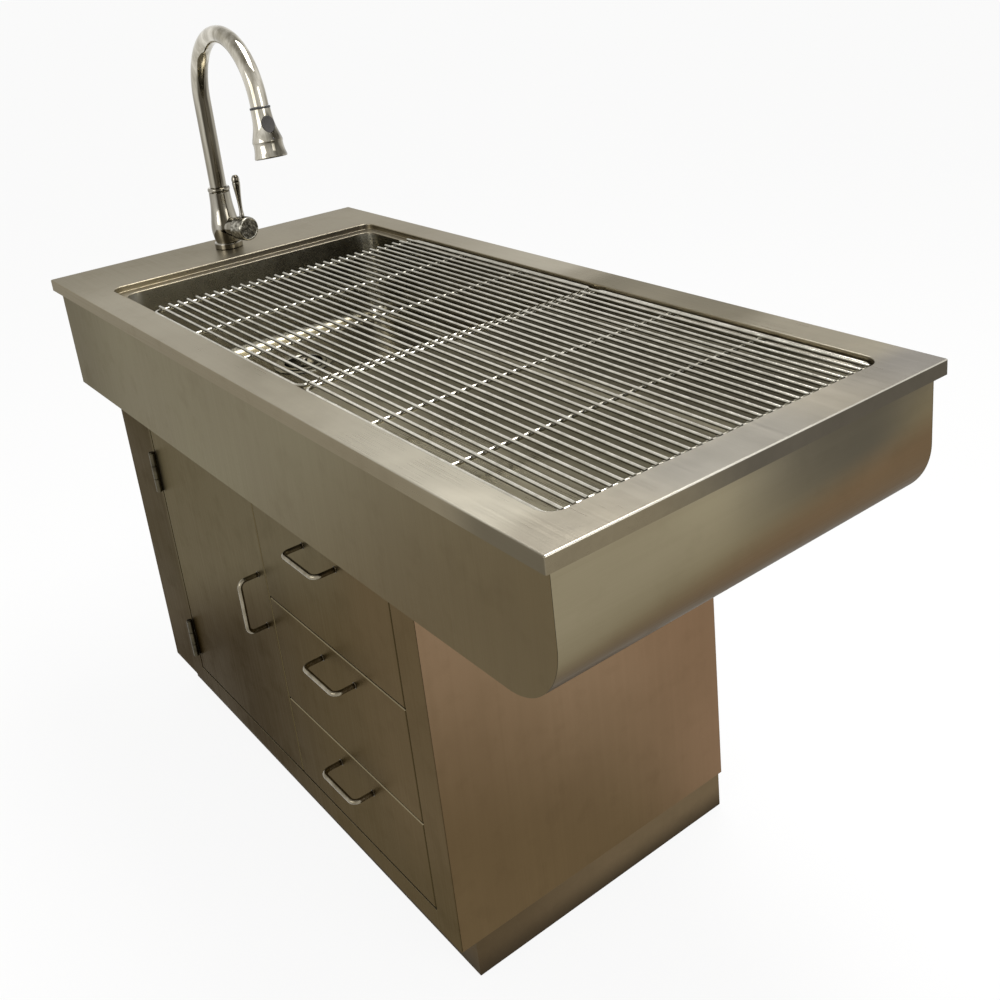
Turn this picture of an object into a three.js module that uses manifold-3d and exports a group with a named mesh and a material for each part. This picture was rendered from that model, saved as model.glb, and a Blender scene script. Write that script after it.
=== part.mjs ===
// Veterinary surgery table: a long stainless steel wash deck with two lift-out wire grates
// over a sink and a sloped tray, on a cabinet with one door and three drawers, with a
// high-arc mixer tap that has a pull-out spray. Millimetres, +Z up, +X towards the free
// end, the door and drawers face -Y. The origin is on the floor under the deck's centre.
import * as THREE from 'three';
import { mergeVertices } from 'three/addons/utils/BufferGeometryUtils.js';
import Module from 'manifold-3d';

const wasm = await Module();
wasm.setup();

// Driving sizes
const deckLength = 1500;
const deckWidth = 650;
const deckHeight = 900;
const sheet = 1.5;
const seam = 0.3;
const overrun = 5;
const mergeReach = 0.0001;

// Deck, its lip, the opening with its recessed ledge
const lipDepth = 21;
const openingLeftMargin = 176;
const openingRightMargin = 60;
const openingSideMargin = 54;
const openingRadius = 22;
const ledgeStep = 11;
const ledgeLeft = 24;
const ledgeSide = 14;

// Trough round the sink
const troughInset = 12;
const troughDepth = 210;
const troughEndRadius = 95;
const serviceWidth = 124;
const hoseMargin = 28;
const drainMargin = 62;

// Sink and sloped tray
const sinkLength = 610;
const sinkFloorDepth = 181;
const sinkFloorFall = 6;
const sinkRadius = 24;
const floorStep = 110;
const traySinkDepth = 42;
const trayFarDepth = 24;
const trayFold = 7;
const trayFoldShift = 20;

// Drain, seen from the sink's left wall
const drainInset = 144;
const drainFlangeRadius = 56;
const drainDishRadius = 60;
const drainCupRadius = 40;
const drainCupDepth = 48;
const drainNeckLength = 26;
const drainWall = 2;
const locknutRadius = 47;
const locknutHeight = 8;
const tailpieceRadius = 20;
const tailpieceLength = 110;
const drainNeckRadius = tailpieceRadius + seam + drainWall;
const basketDepth = 34;
const basketKnobRadius = 7;
const basketHoles = 10;
const basketHoleRadius = 4;
const basketFloorShare = 0.8;
const basketHoleShare = 0.52;

// Wire grates
const grateMouth = 188;
const grateGap = 14;
const grateEndClearance = 8;
const grateSideClearance = 7;
const frameRod = 6;
const longRod = 5;
const longRodCount = 31;
const longRodMargin = 13.5;
const longRodStub = 6;
const grateCornerRadius = 14;
const weldDepth = 0.6;

// Cabinet and plinth
const cabinetLeft = 70;
const cabinetLength = 1056;
const cabinetSetback = 54;
const plinthHeight = 71;
const plinthFrontSetback = 29;
const plinthSideSetback = 6;
const plinthFlange = 30;
const sideReturn = 25;
const leftStile = 149;
const rightStile = 57;
const bottomRail = 37;
const topRail = 29;
const frameReturn = 20;
const catchReturn = 40;
const wasteSlot = 120;

// Door and drawers
const doorWidth = 430;
const frontDepth = 18;
const frontReturn = 16;
const frontGap = 2.5;
const lowerDrawerShare = 0.285;
const middleDrawerShare = 0.358;
const upperDrawerShare = 0.357;
const handleCentres = 98;
const handleRod = 8;
const handleStandoff = 34;
const handleBend = 12;
const drawerHandleDrop = 35;
const drawerHandleShift = 10;
const doorHandleInset = 30;
const doorHandleHeight = 332;

// Hinges
const hingeLength = 80;
const hingeBarrel = 11;
const hingePin = 6;
const hingePinClearance = 0.3;
const hingeLeaf = 1;
const hingeLeafDepth = 17;
const lowerHingeRise = 31;
const upperHingeDrop = 70;

// Drawer boxes and runners
const boxBackClearance = 53.7;
const boxRise = 8;
const boxHeightShare = 0.62;
const runnerHeight = 36;
const runnerDepth = 12;
const runnerLip = 5;
const railClearance = 0.6;
const runnerRise = 30;

// Magnetic catch
const catchLength = 44;
const catchHeight = 14;
const catchDepth = 15;
const strikeHeight = 20;

// Tap, measured from the deck. Shares are pairs of a radius and a height, each as a share
// of the size that the piece follows
const tapFromLeft = 85;
const tapShift = 3;
const tapShankRadius = 16;
const tapShankLength = 48;
const tapHoleClearance = 1;
const tapBaseRadius = 27;
const tapBaseHeight = 12;
const tapBodyRadius = 27.5;
const tapBodyHeight = 112;
const tapBodyShares = [
  [0.86, 0.13], [0.93, 0.2], [0.99, 0.28], [1, 0.36], [0.96, 0.46], [0.87, 0.6], [0.78, 0.78], [0.74, 1],
];
const collarRadius = 21.5;
const collarHeight = 9;
const collarShares = [[0.93, 0], [1, 0.2], [1, 0.8], [0.93, 1]];
const spoutRadius = 16;
const spoutWall = 2.5;
const spoutRise = 290;
const spoutArcRadius = 125;
const spoutArcDegrees = 172;
const spoutTail = 14;
const dockRadius = 13;
const dockLength = 12;
const sprayLength = 90;
const sprayNeckRadius = 17.5;
const sprayFaceRadius = 29;
const sprayShares = [
  [0.6, 0], [0.61, 0.16], [0.66, 0.34], [0.78, 0.5], [0.9, 0.62], [0.93, 0.68], [0.89, 0.75], [0.92, 0.84],
  [1, 0.96], [0.97, 1],
];
const sprayFaceShare = 0.82;
const sprayFaceDepth = 6;
const sprayFaceShares = [[1, 0], [1, 0.6], [0.86, 1]];
const buttonLength = 30;
const buttonWidth = 23;
const buttonRise = 2.5;
const buttonFromTop = 32;
const buttonTravel = 2;
const buttonSeatShare = 0.7;
const valveHeight = 42;
const valveRadius = 19;
const valveReach = 40;
const valveTurnDegrees = 15;
const hubRadius = 23.5;
const hubLength = 32;
const hubShares = [[0.9, 0], [1, 0.12], [1, 0.86], [0.9, 1]];
const leverRadius = 5;
const leverLength = 106;
const leverTipRadius = 8;
const leverTiltDegrees = 18;
const leverShares = [[1, 0.02], [0.92, 0.26]];
const leverTipShares = [[0.72, 0.5], [0.95, 0.78], [1, 0.88], [0.72, 0.97]];
const nutRadius = 27;
const nutHeight = 9;

// Facets round turned and rolled pieces
const roundSides = 24;
const drainSides = 16;
const smallSides = 12;
const rodSides = 6;
const handleSides = 8;
const arcSteps = 6;
const cornerSteps = 3;
const spoutSteps = 16;

// Finishes
const brushed = { color: 0x9b9484, roughness: 0.38, metalness: 1 };
const brushedDark = { color: 0x6f6555, roughness: 0.42, metalness: 1 };
const wireFinish = { color: 0xc9c4b6, roughness: 0.22, metalness: 1 };
const chromeFinish = { color: 0xd6d6d2, roughness: 0.08, metalness: 1 };
const zincFinish = { color: 0x8d8c88, roughness: 0.45, metalness: 1 };
const greyPlastic = { color: 0x5d5b5c, roughness: 0.5, metalness: 0 };
const catchPlastic = { color: 0x2b2a29, roughness: 0.6, metalness: 0 };

// Places that several pieces share
const deckLeft = -deckLength / 2;
const deckFront = -deckWidth / 2;
const deckUnder = deckHeight - sheet;
const opening = {
  x0: deckLeft + openingLeftMargin,
  x1: deckLeft + deckLength - openingRightMargin,
  y0: deckFront + openingSideMargin,
  y1: -deckFront - openingSideMargin,
};
const basin = {
  x0: opening.x0 + ledgeLeft,
  x1: opening.x1 - ledgeSide,
  y0: opening.y0 + ledgeSide,
  y1: opening.y1 - ledgeSide,
};
const ledgeTop = deckHeight - ledgeStep;
const basinTop = ledgeTop - sheet - seam;
const trayStart = basin.x0 + sinkLength;
const troughBottom = deckHeight - troughDepth;
const cabinet = {
  x0: deckLeft + cabinetLeft,
  x1: deckLeft + cabinetLeft + cabinetLength,
  y0: deckFront + cabinetSetback,
  y1: -deckFront - cabinetSetback,
  z0: plinthHeight,
  z1: troughBottom - seam,
};
const bay = {
  x0: cabinet.x0 + leftStile,
  x1: cabinet.x1 - rightStile,
  z0: cabinet.z0 + bottomRail,
  z1: cabinet.z1 - topRail,
};
const hingeGap = 2 * hingeLeaf + 3 * seam;
const door = {
  x0: bay.x0 + hingeGap,
  x1: bay.x0 + hingeGap + doorWidth,
  z0: bay.z0 + frontGap,
  z1: bay.z1 - frontGap,
};
const drawerBay = { x0: door.x1 + frontGap, x1: bay.x1 - frontGap };
const frontBack = cabinet.y0 + frontDepth;

// Leaves out triangles that shrink to a line where a turned piece meets its axis
const withoutSlivers = (index) => {
  const kept = [];
  for (let i = 0; i < index.length; i += 3) {
    const [a, b, c] = [index[i], index[i + 1], index[i + 2]];
    if (a !== b && b !== c && c !== a) kept.push(a, b, c);
  }
  return new Uint32Array(kept);
};

// Solids: three.js shapes become closed solids that can be joined and cut
const solid = (geometry) => {
  const bare = geometry.index ? geometry.toNonIndexed() : geometry.clone();
  bare.deleteAttribute('normal');
  bare.deleteAttribute('uv');
  const merged = mergeVertices(bare, mergeReach);
  return new wasm.Manifold(new wasm.Mesh({
    numProp: 3,
    vertProperties: merged.attributes.position.array,
    triVerts: withoutSlivers(merged.index.array),
  }));
};

const joined = (first, ...rest) => rest.reduce((whole, piece) => whole.add(piece), first);

const cut = (first, ...tools) => tools.reduce((whole, tool) => whole.subtract(tool), first);

const geometryOf = (manifold) => {
  const mesh = manifold.getMesh();
  const geometry = new THREE.BufferGeometry();
  geometry.setAttribute('position', new THREE.BufferAttribute(new Float32Array(mesh.vertProperties), 3));
  geometry.setIndex(new THREE.BufferAttribute(new Uint32Array(mesh.triVerts), 1));
  const flat = geometry.toNonIndexed();
  flat.computeVertexNormals();
  return flat;
};

// A block between two corners
const block = (x0, x1, y0, y1, z0, z1) => {
  const geometry = new THREE.BoxGeometry(x1 - x0, y1 - y0, z1 - z0);
  geometry.translate((x0 + x1) / 2, (y0 + y1) / 2, (z0 + z1) / 2);
  return solid(geometry);
};

// A rectangle with round corners, as a shape in its own plane
const roundedShape = (x0, x1, y0, y1, r) => {
  const shape = new THREE.Shape();
  shape.moveTo(x0 + r, y0);
  shape.lineTo(x1 - r, y0);
  shape.absarc(x1 - r, y0 + r, r, -Math.PI / 2, 0, false);
  shape.lineTo(x1, y1 - r);
  shape.absarc(x1 - r, y1 - r, r, 0, Math.PI / 2, false);
  shape.lineTo(x0 + r, y1);
  shape.absarc(x0 + r, y1 - r, r, Math.PI / 2, Math.PI, false);
  shape.lineTo(x0, y0 + r);
  shape.absarc(x0 + r, y0 + r, r, Math.PI, Math.PI * 1.5, false);
  return shape;
};

// A shape in the XY plane raised from z0 to z1
const raised = (shape, z0, z1) => {
  const geometry = new THREE.ExtrudeGeometry(shape, {
    depth: z1 - z0, bevelEnabled: false, curveSegments: cornerSteps,
  });
  geometry.translate(0, 0, z0);
  return solid(geometry);
};

// A shape drawn in X and Z, drawn out along Y from y0 to y1
const drawnAcross = (shape, y0, y1) => {
  const geometry = new THREE.ExtrudeGeometry(shape, {
    depth: y1 - y0, bevelEnabled: false, curveSegments: arcSteps,
  });
  geometry.rotateX(Math.PI / 2);
  geometry.translate(0, y1, 0);
  return solid(geometry);
};

// A turned piece: pairs of radius and height, closed on the axis or on itself
const turned = (profile, sides = roundSides) => {
  const points = profile.map(([r, z]) => new THREE.Vector2(r, z));
  const geometry = new THREE.LatheGeometry(points, sides);
  geometry.rotateX(Math.PI / 2);
  return solid(geometry);
};

// A cylinder standing on z0
const pillar = (x, y, z0, z1, r, sides = roundSides) => {
  const geometry = new THREE.CylinderGeometry(r, r, z1 - z0, sides);
  geometry.rotateX(Math.PI / 2);
  geometry.translate(x, y, (z0 + z1) / 2);
  return solid(geometry);
};

// A cylinder lying along X
const bar = (x0, x1, y, z, r, sides = roundSides) => {
  const geometry = new THREE.CylinderGeometry(r, r, x1 - x0, sides);
  geometry.rotateZ(Math.PI / 2);
  geometry.translate((x0 + x1) / 2, y, z);
  return solid(geometry);
};

// A skin through rings of points that have the same number of points each, closed at
// both ends, or joined end to end when the path is a loop. Its faces point outwards
// whichever way round the rings are given.
const skin = (rings, loop = false) => {
  const count = rings[0].length;
  const faces = [];
  const spans = loop ? rings.length : rings.length - 1;
  for (let i = 0; i < spans; i += 1) {
    const near = rings[i];
    const far = rings[(i + 1) % rings.length];
    for (let j = 0; j < count; j += 1) {
      const k = (j + 1) % count;
      faces.push([near[j], near[k], far[k]], [near[j], far[k], far[j]]);
    }
  }
  const middle = (ring) => ring
    .reduce((sum, point) => sum.add(point), new THREE.Vector3()).divideScalar(count);
  if (!loop) {
    const start = rings[0];
    const end = rings[rings.length - 1];
    for (let j = 0; j < count; j += 1) {
      const k = (j + 1) % count;
      faces.push([middle(start), start[k], start[j]], [middle(end), end[j], end[k]]);
    }
  }
  const volume = faces.reduce((sum, [a, b, c]) => sum + a.dot(b.clone().cross(c)), 0);
  const outward = volume > 0 ? faces : faces.map(([a, b, c]) => [a, c, b]);
  const geometry = new THREE.BufferGeometry();
  const positions = outward.flat().flatMap((point) => point.toArray());
  geometry.setAttribute('position', new THREE.Float32BufferAttribute(positions, 3));
  return solid(geometry);
};

// A path with each inner corner rounded, in one plane
const filleted = (corners, radius, steps, loop = false) => {
  const points = [];
  corners.forEach((corner, i) => {
    const ends = !loop && (i === 0 || i === corners.length - 1);
    if (ends) {
      points.push(corner.clone());
      return;
    }
    const before = corners[(i + corners.length - 1) % corners.length].clone().sub(corner).normalize();
    const after = corners[(i + 1) % corners.length].clone().sub(corner).normalize();
    const half = before.angleTo(after) / 2;
    const reach = radius / Math.tan(half);
    const centre = corner.clone()
      .add(before.clone().add(after).normalize().multiplyScalar(radius / Math.sin(half)));
    const from = corner.clone().add(before.clone().multiplyScalar(reach)).sub(centre);
    const to = corner.clone().add(after.clone().multiplyScalar(reach)).sub(centre);
    const sweep = from.angleTo(to);
    const axis = from.clone().cross(to).normalize();
    for (let s = 0; s <= steps; s += 1) {
      points.push(centre.clone().add(from.clone().applyAxisAngle(axis, (sweep * s) / steps)));
    }
  });
  return points;
};

// A round rod along a flat path whose plane has the given normal; the flats of the
// section lie at the rod's radius
const rodAlong = (path, normal, radius, sides, loop = false) => {
  const reach = radius / Math.cos(Math.PI / sides);
  const rings = path.map((point, i) => {
    const last = path.length - 1;
    const before = loop ? path[(i + last) % path.length] : path[Math.max(i - 1, 0)];
    const after = loop ? path[(i + 1) % path.length] : path[Math.min(i + 1, last)];
    const tangent = after.clone().sub(before).normalize();
    const side = tangent.clone().cross(normal).normalize();
    return Array.from({ length: sides }, (_, j) => {
      const turn = Math.PI / 2 + ((j + 0.5) * 2 * Math.PI) / sides;
      return point.clone()
        .add(side.clone().multiplyScalar(reach * Math.cos(turn)))
        .add(normal.clone().multiplyScalar(reach * Math.sin(turn)));
    });
  });
  return skin(rings, loop);
};

// Deck: a flat top with a turned-down lip, and an opening that steps down to the ledge
// that carries the grates
const deckRim = () => {
  const pan = cut(
    block(deckLeft, -deckLeft, deckFront, -deckFront, deckHeight - lipDepth, deckHeight),
    block(
      deckLeft + sheet, -deckLeft - sheet, deckFront + sheet, -deckFront - sheet,
      deckHeight - lipDepth - overrun, deckUnder,
    ),
  );
  const step = raised(
    roundedShape(
      opening.x0 - sheet, opening.x1 + sheet, opening.y0 - sheet, opening.y1 + sheet,
      openingRadius + sheet,
    ),
    ledgeTop - sheet, deckUnder + sheet / 2,
  );
  const mouth = raised(
    roundedShape(opening.x0, opening.x1, opening.y0, opening.y1, openingRadius),
    ledgeTop, deckHeight + overrun,
  );
  const throat = raised(
    roundedShape(basin.x0, basin.x1, basin.y0, basin.y1, sinkRadius),
    ledgeTop - sheet - overrun, deckHeight + overrun,
  );
  const tapHole = pillar(
    tapX, tapY, deckUnder - overrun, deckHeight + overrun, tapShankRadius + tapHoleClearance,
  );
  return cut(joined(pan, step), mouth, throat, tapHole);
};

// Trough: two flat aprons with one large round lower corner, a belly that is bent up to
// the free end, and a flat end under the tap
const troughX0 = deckLeft + troughInset;
const troughX1 = -deckLeft - troughInset;
const troughY0 = deckFront + troughInset;
const troughY1 = -deckFront - troughInset;
const troughTop = deckUnder - seam;

const apronShape = () => {
  const shape = new THREE.Shape();
  shape.moveTo(troughX0, troughBottom);
  shape.lineTo(troughX1 - troughEndRadius, troughBottom);
  shape.absarc(
    troughX1 - troughEndRadius, troughBottom + troughEndRadius, troughEndRadius,
    -Math.PI / 2, 0, false,
  );
  shape.lineTo(troughX1, troughTop);
  shape.lineTo(troughX0, troughTop);
  return shape;
};

const bellyShape = () => {
  const centreX = troughX1 - troughEndRadius;
  const centreZ = troughBottom + troughEndRadius;
  const shape = new THREE.Shape();
  shape.moveTo(troughX0, troughBottom);
  shape.lineTo(centreX, troughBottom);
  shape.absarc(centreX, centreZ, troughEndRadius, -Math.PI / 2, 0, false);
  shape.lineTo(troughX1, troughTop);
  shape.lineTo(troughX1 - sheet, troughTop);
  shape.lineTo(troughX1 - sheet, centreZ);
  shape.absarc(centreX, centreZ, troughEndRadius - sheet, 0, -Math.PI / 2, true);
  shape.lineTo(troughX0, troughBottom + sheet);
  return shape;
};

const troughBelly = () => cut(
  drawnAcross(bellyShape(), troughY0 + sheet + seam, troughY1 - sheet - seam),
  block(
    tapX - hoseMargin, drainX + drainMargin, -serviceWidth / 2, serviceWidth / 2,
    troughBottom - overrun, troughBottom + sheet + overrun,
  ),
);

// Sink: a tub with round upright corners whose floor falls to the drain, and whose front,
// back and left walls rise to the ledge
const sinkFloor = deckHeight - sinkFloorDepth;
const trayEdge = deckHeight - traySinkDepth - sheet - seam;
const drainX = basin.x0 + drainInset;
const drainRim = sinkFloor - sinkFloorFall;

// Points round a shape at one height, with long straight runs shared out evenly
const outlineRing = (x0, x1, y0, y1, r, z) => {
  const corners = roundedShape(x0, x1, y0, y1, r).extractPoints(cornerSteps).shape
    .filter((point, i, all) => point.distanceTo(all[(i + all.length - 1) % all.length]) > mergeReach);
  return corners.flatMap((point, i) => {
    const next = corners[(i + 1) % corners.length];
    const runs = Math.ceil(point.distanceTo(next) / floorStep);
    return Array.from({ length: runs }, (_, k) => {
      const at = point.clone().lerp(next, k / runs);
      return new THREE.Vector3(at.x, at.y, z);
    });
  });
};

const drainRing = (outline, r, z) => outline.map((point) => {
  const turn = Math.atan2(point.y, point.x - drainX);
  return new THREE.Vector3(drainX + r * Math.cos(turn), r * Math.sin(turn), z);
});

const tub = (grow, floorZ, drainZ, topZ) => {
  const x0 = basin.x0 - grow;
  const x1 = trayStart + grow;
  const y0 = basin.y0 - grow;
  const y1 = basin.y1 + grow;
  const low = outlineRing(x0, x1, y0, y1, sinkRadius + grow, floorZ);
  const high = low.map((point) => point.clone().setZ(topZ));
  return skin([drainRing(low, drainDishRadius, drainZ), low, high]);
};

const openTrough = (grow, x1, z0, z1) => {
  const x0 = basin.x0 - grow;
  const y0 = basin.y0 - grow;
  const y1 = basin.y1 + grow;
  const r = sinkRadius + grow;
  const shape = new THREE.Shape();
  shape.moveTo(x1, y0);
  shape.lineTo(x1, y1);
  shape.lineTo(x0 + r, y1);
  shape.absarc(x0 + r, y1 - r, r, Math.PI / 2, Math.PI, false);
  shape.lineTo(x0, y0 + r);
  shape.absarc(x0 + r, y0 + r, r, Math.PI, Math.PI * 1.5, false);
  return raised(shape, z0, z1);
};

const sinkBowl = () => {
  const outside = joined(
    tub(sheet, sinkFloor - sheet, drainRim - sheet, trayEdge),
    openTrough(sheet, trayStart + sheet, trayEdge - sheet, basinTop),
  );
  return cut(
    outside,
    tub(0, sinkFloor, drainRim, trayEdge + overrun),
    openTrough(0, trayStart + sheet + overrun, trayEdge, basinTop + overrun),
    block(
      trayStart, trayStart + sheet + overrun, basin.y0 - sheet - overrun,
      basin.y1 + sheet + overrun, trayEdge, basinTop + overrun,
    ),
    pillar(
      drainX, 0, drainRim - sheet - overrun, drainRim + overrun, drainCupRadius + 2 * seam, drainSides,
    ),
  );
};

// Tray: a sheet folded along a shallow valley that falls to the sink, with walls on three
// sides and an edge that hangs into the sink
const slopedTray = () => {
  const nearZ = deckHeight - traySinkDepth;
  const farZ = deckHeight - trayFarDepth;
  const x0 = trayStart - sheet - seam;
  const x1 = basin.x1;
  const section = (x, y0, y1, low, top) => [
    new THREE.Vector3(x, y0, low + trayFold),
    new THREE.Vector3(x, trayFoldShift, low),
    new THREE.Vector3(x, y1, low + trayFold),
    new THREE.Vector3(x, y1, top),
    new THREE.Vector3(x, y0, top),
  ];
  const outside = skin([
    section(trayStart, basin.y0 - sheet, basin.y1 + sheet, nearZ - sheet, basinTop),
    section(x1 + sheet, basin.y0 - sheet, basin.y1 + sheet, farZ - sheet, basinTop),
  ]);
  const inside = skin([
    section(trayStart - overrun, basin.y0, basin.y1, nearZ, basinTop + overrun),
    section(x1, basin.y0, basin.y1, farZ, basinTop + overrun),
  ]);
  const hem = skin([
    [
      new THREE.Vector3(x0 - sheet, basin.y0 + sinkRadius, trayEdge - lipDepth),
      new THREE.Vector3(x0 - sheet, basin.y1 - sinkRadius, trayEdge - lipDepth),
      new THREE.Vector3(x0 - sheet, basin.y1 - sinkRadius, nearZ + trayFold),
      new THREE.Vector3(x0 - sheet, trayFoldShift, nearZ),
      new THREE.Vector3(x0 - sheet, basin.y0 + sinkRadius, nearZ + trayFold),
    ],
    [
      new THREE.Vector3(x0, basin.y0 + sinkRadius, trayEdge - lipDepth),
      new THREE.Vector3(x0, basin.y1 - sinkRadius, trayEdge - lipDepth),
      new THREE.Vector3(x0, basin.y1 - sinkRadius, nearZ + trayFold),
      new THREE.Vector3(x0, trayFoldShift, nearZ),
      new THREE.Vector3(x0, basin.y0 + sinkRadius, nearZ + trayFold),
    ],
  ]);
  const nose = cut(
    skin([
      section(x0 - sheet, basin.y0 + sinkRadius, basin.y1 - sinkRadius, nearZ - sheet, basinTop),
      section(trayStart + sheet, basin.y0 + sinkRadius, basin.y1 - sinkRadius, nearZ - sheet, basinTop),
    ]),
    skin([
      section(x0 - sheet - overrun, basin.y0 - sheet, basin.y1 + sheet, nearZ, basinTop + overrun),
      section(trayStart + sheet + overrun, basin.y0 - sheet, basin.y1 + sheet, nearZ, basinTop + overrun),
    ]),
  );
  return joined(cut(outside, inside), nose, hem);
};

// Drain: a flanged cup through the sink's floor, held by a ring nut, a tailpiece below
// it and a lift-out basket with a knob in it
const drainCup = () => {
  const top = drainRim + seam + drainWall;
  const bottom = drainRim - drainCupDepth;
  const cup = turned([
    [drainCupRadius - drainWall, top],
    [drainCupRadius - drainWall, bottom + drainWall],
    [drainNeckRadius - drainWall, bottom + drainWall],
    [drainNeckRadius - drainWall, bottom - drainNeckLength],
    [drainNeckRadius, bottom - drainNeckLength],
    [drainNeckRadius, bottom],
    [drainCupRadius, bottom],
    [drainCupRadius, top - drainWall],
    [drainFlangeRadius, top - drainWall],
    [drainFlangeRadius, top],
    [drainCupRadius - drainWall, top],
  ], drainSides);
  return cup.translate([drainX, 0, 0]);
};

const drainLocknut = () => {
  const top = drainRim - sheet - seam;
  return cut(
    pillar(drainX, 0, top - locknutHeight, top, locknutRadius, smallSides),
    pillar(drainX, 0, top - locknutHeight - overrun, top + overrun, drainCupRadius + seam, drainSides),
  );
};

const drainTailpiece = () => {
  const top = drainRim - drainCupDepth - seam;
  return cut(
    pillar(drainX, 0, top - drainNeckLength - tailpieceLength, top, tailpieceRadius, drainSides),
    pillar(
      drainX, 0, top - drainNeckLength - tailpieceLength - overrun, top + overrun,
      tailpieceRadius - drainWall, drainSides,
    ),
  );
};

const strainerBasket = () => {
  const rimRadius = drainCupRadius + drainWall * 2;
  const top = drainRim + 2 * seam + 2 * drainWall;
  const low = drainRim - basketDepth;
  const wallRadius = drainCupRadius - drainWall - 2 * seam;
  const stemRadius = basketKnobRadius / 2;
  const shell = turned([
    [0, low],
    [wallRadius * basketFloorShare, low],
    [wallRadius, low + drainWall * 3],
    [wallRadius, top - drainWall],
    [rimRadius, top - drainWall],
    [rimRadius, top],
    [wallRadius - drainWall, top],
    [wallRadius - drainWall, low + drainWall * 4],
    [wallRadius * basketFloorShare - drainWall / 2, low + drainWall],
    [stemRadius, low + drainWall],
    [stemRadius, top - basketKnobRadius],
    [basketKnobRadius, top - basketKnobRadius / 2],
    [basketKnobRadius, top + basketKnobRadius / 2],
    [0, top + basketKnobRadius],
  ], drainSides);
  const ringRadius = wallRadius * basketHoleShare;
  const holes = Array.from({ length: basketHoles }, (_, i) => {
    const turn = (i * 2 * Math.PI) / basketHoles;
    return pillar(
      ringRadius * Math.cos(turn), ringRadius * Math.sin(turn),
      low - overrun, low + drainWall + overrun, basketHoleRadius, rodSides,
    );
  });
  return cut(shell, ...holes).translate([drainX, 0, 0]);
};

// Grate: a rod bent round to a rectangle with round corners, two cross rods at its thirds
// and a comb of long rods welded on top, each with a short stub past the end rods
const frameRodZ = ledgeTop + seam + frameRod / 2;
const longRodZ = frameRodZ + frameRod / 2 + longRod / 2 - weldDepth;
const grateWidth = opening.y1 - opening.y0 - 2 * grateSideClearance;
const longRodPitch = (grateWidth - 2 * longRodMargin) / (longRodCount - 1);
const grateLeftX0 = opening.x0 + grateMouth;
const grateRightX1 = opening.x1 - grateEndClearance;
const grateLength = (grateRightX1 - grateLeftX0 - grateGap) / 2;

const grate = (x0, x1) => {
  const up = new THREE.Vector3(0, 0, 1);
  const y = grateWidth / 2;
  const corners = [[x0, -y], [x1, -y], [x1, y], [x0, y]]
    .map(([cornerX, cornerY]) => new THREE.Vector3(cornerX, cornerY, frameRodZ));
  const loop = rodAlong(
    filleted(corners, grateCornerRadius, arcSteps / 2, true), up, frameRod / 2, rodSides, true,
  );
  const crossRods = [1, 2].map((third) => {
    const x = x0 + ((x1 - x0) * third) / 3;
    const ends = [new THREE.Vector3(x, -y, frameRodZ), new THREE.Vector3(x, y, frameRodZ)];
    return rodAlong(ends, up, frameRod / 2, rodSides);
  });
  const longRods = Array.from({ length: longRodCount }, (_, i) => {
    const rodY = (i - (longRodCount - 1) / 2) * longRodPitch;
    const ends = [
      new THREE.Vector3(x0 - longRodStub, rodY, longRodZ),
      new THREE.Vector3(x1 + longRodStub, rodY, longRodZ),
    ];
    return rodAlong(ends, up, longRod / 2, rodSides);
  });
  return joined(loop, ...crossRods, ...longRods);
};

// Cabinet: folded side, back and floor panels, two upright partitions beside the drawers,
// a face frame with one wide bay, and a plinth with flanges turned inwards
const cabinetSide = (x, inward) => {
  const x1 = x + inward * sheet;
  const x2 = x + inward * sideReturn;
  const y0 = cabinet.y0 + sheet + seam;
  const y1 = cabinet.y1;
  const shape = new THREE.Shape();
  shape.moveTo(x, y0);
  shape.lineTo(x2, y0);
  shape.lineTo(x2, y0 + sheet);
  shape.lineTo(x1, y0 + sheet);
  shape.lineTo(x1, y1 - sheet);
  shape.lineTo(x2, y1 - sheet);
  shape.lineTo(x2, y1);
  shape.lineTo(x, y1);
  return raised(shape, cabinet.z0, cabinet.z1);
};

const cabinetBack = () => {
  const y1 = cabinet.y1 - sheet - seam;
  const x0 = cabinet.x0 + sheet + seam;
  const x1 = cabinet.x1 - sheet - seam;
  const z0 = cabinet.z0 + sheet + seam;
  return joined(
    block(x0, x1, y1 - sheet, y1, z0, cabinet.z1),
    block(x0, x1, y1 - sideReturn, y1, cabinet.z1 - sheet, cabinet.z1),
  );
};

const cabinetFloor = () => {
  const x0 = cabinet.x0 + sheet + seam;
  const x1 = cabinet.x1 - sheet - seam;
  const y0 = cabinet.y0 + 2 * sheet + 2 * seam;
  const y1 = cabinet.y1 - 2 * sheet - 2 * seam;
  const z0 = cabinet.z0;
  return cut(
    block(x0, x1, y0, y1, z0, z0 + sheet),
    block(drainX - wasteSlot / 2, drainX + wasteSlot / 2, y1 - wasteSlot, y1 - plinthFlange * 2,
      z0 - overrun, z0 + sheet + overrun),
  );
};

const partition = (x, outward) => {
  const y0 = frontBack + 4 * seam + sheet;
  const y1 = cabinet.y1 - 2 * sheet - 2 * seam - seam;
  const z0 = cabinet.z0 + sheet + seam;
  const z1 = bay.z1 - seam;
  const shape = new THREE.Shape();
  const x1 = x + outward * sheet;
  const x2 = x + outward * sideReturn;
  shape.moveTo(x, y0);
  shape.lineTo(x2, y0);
  shape.lineTo(x2, y0 + sheet);
  shape.lineTo(x1, y0 + sheet);
  shape.lineTo(x1, y1);
  shape.lineTo(x, y1);
  return raised(shape, z0, z1);
};

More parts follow.
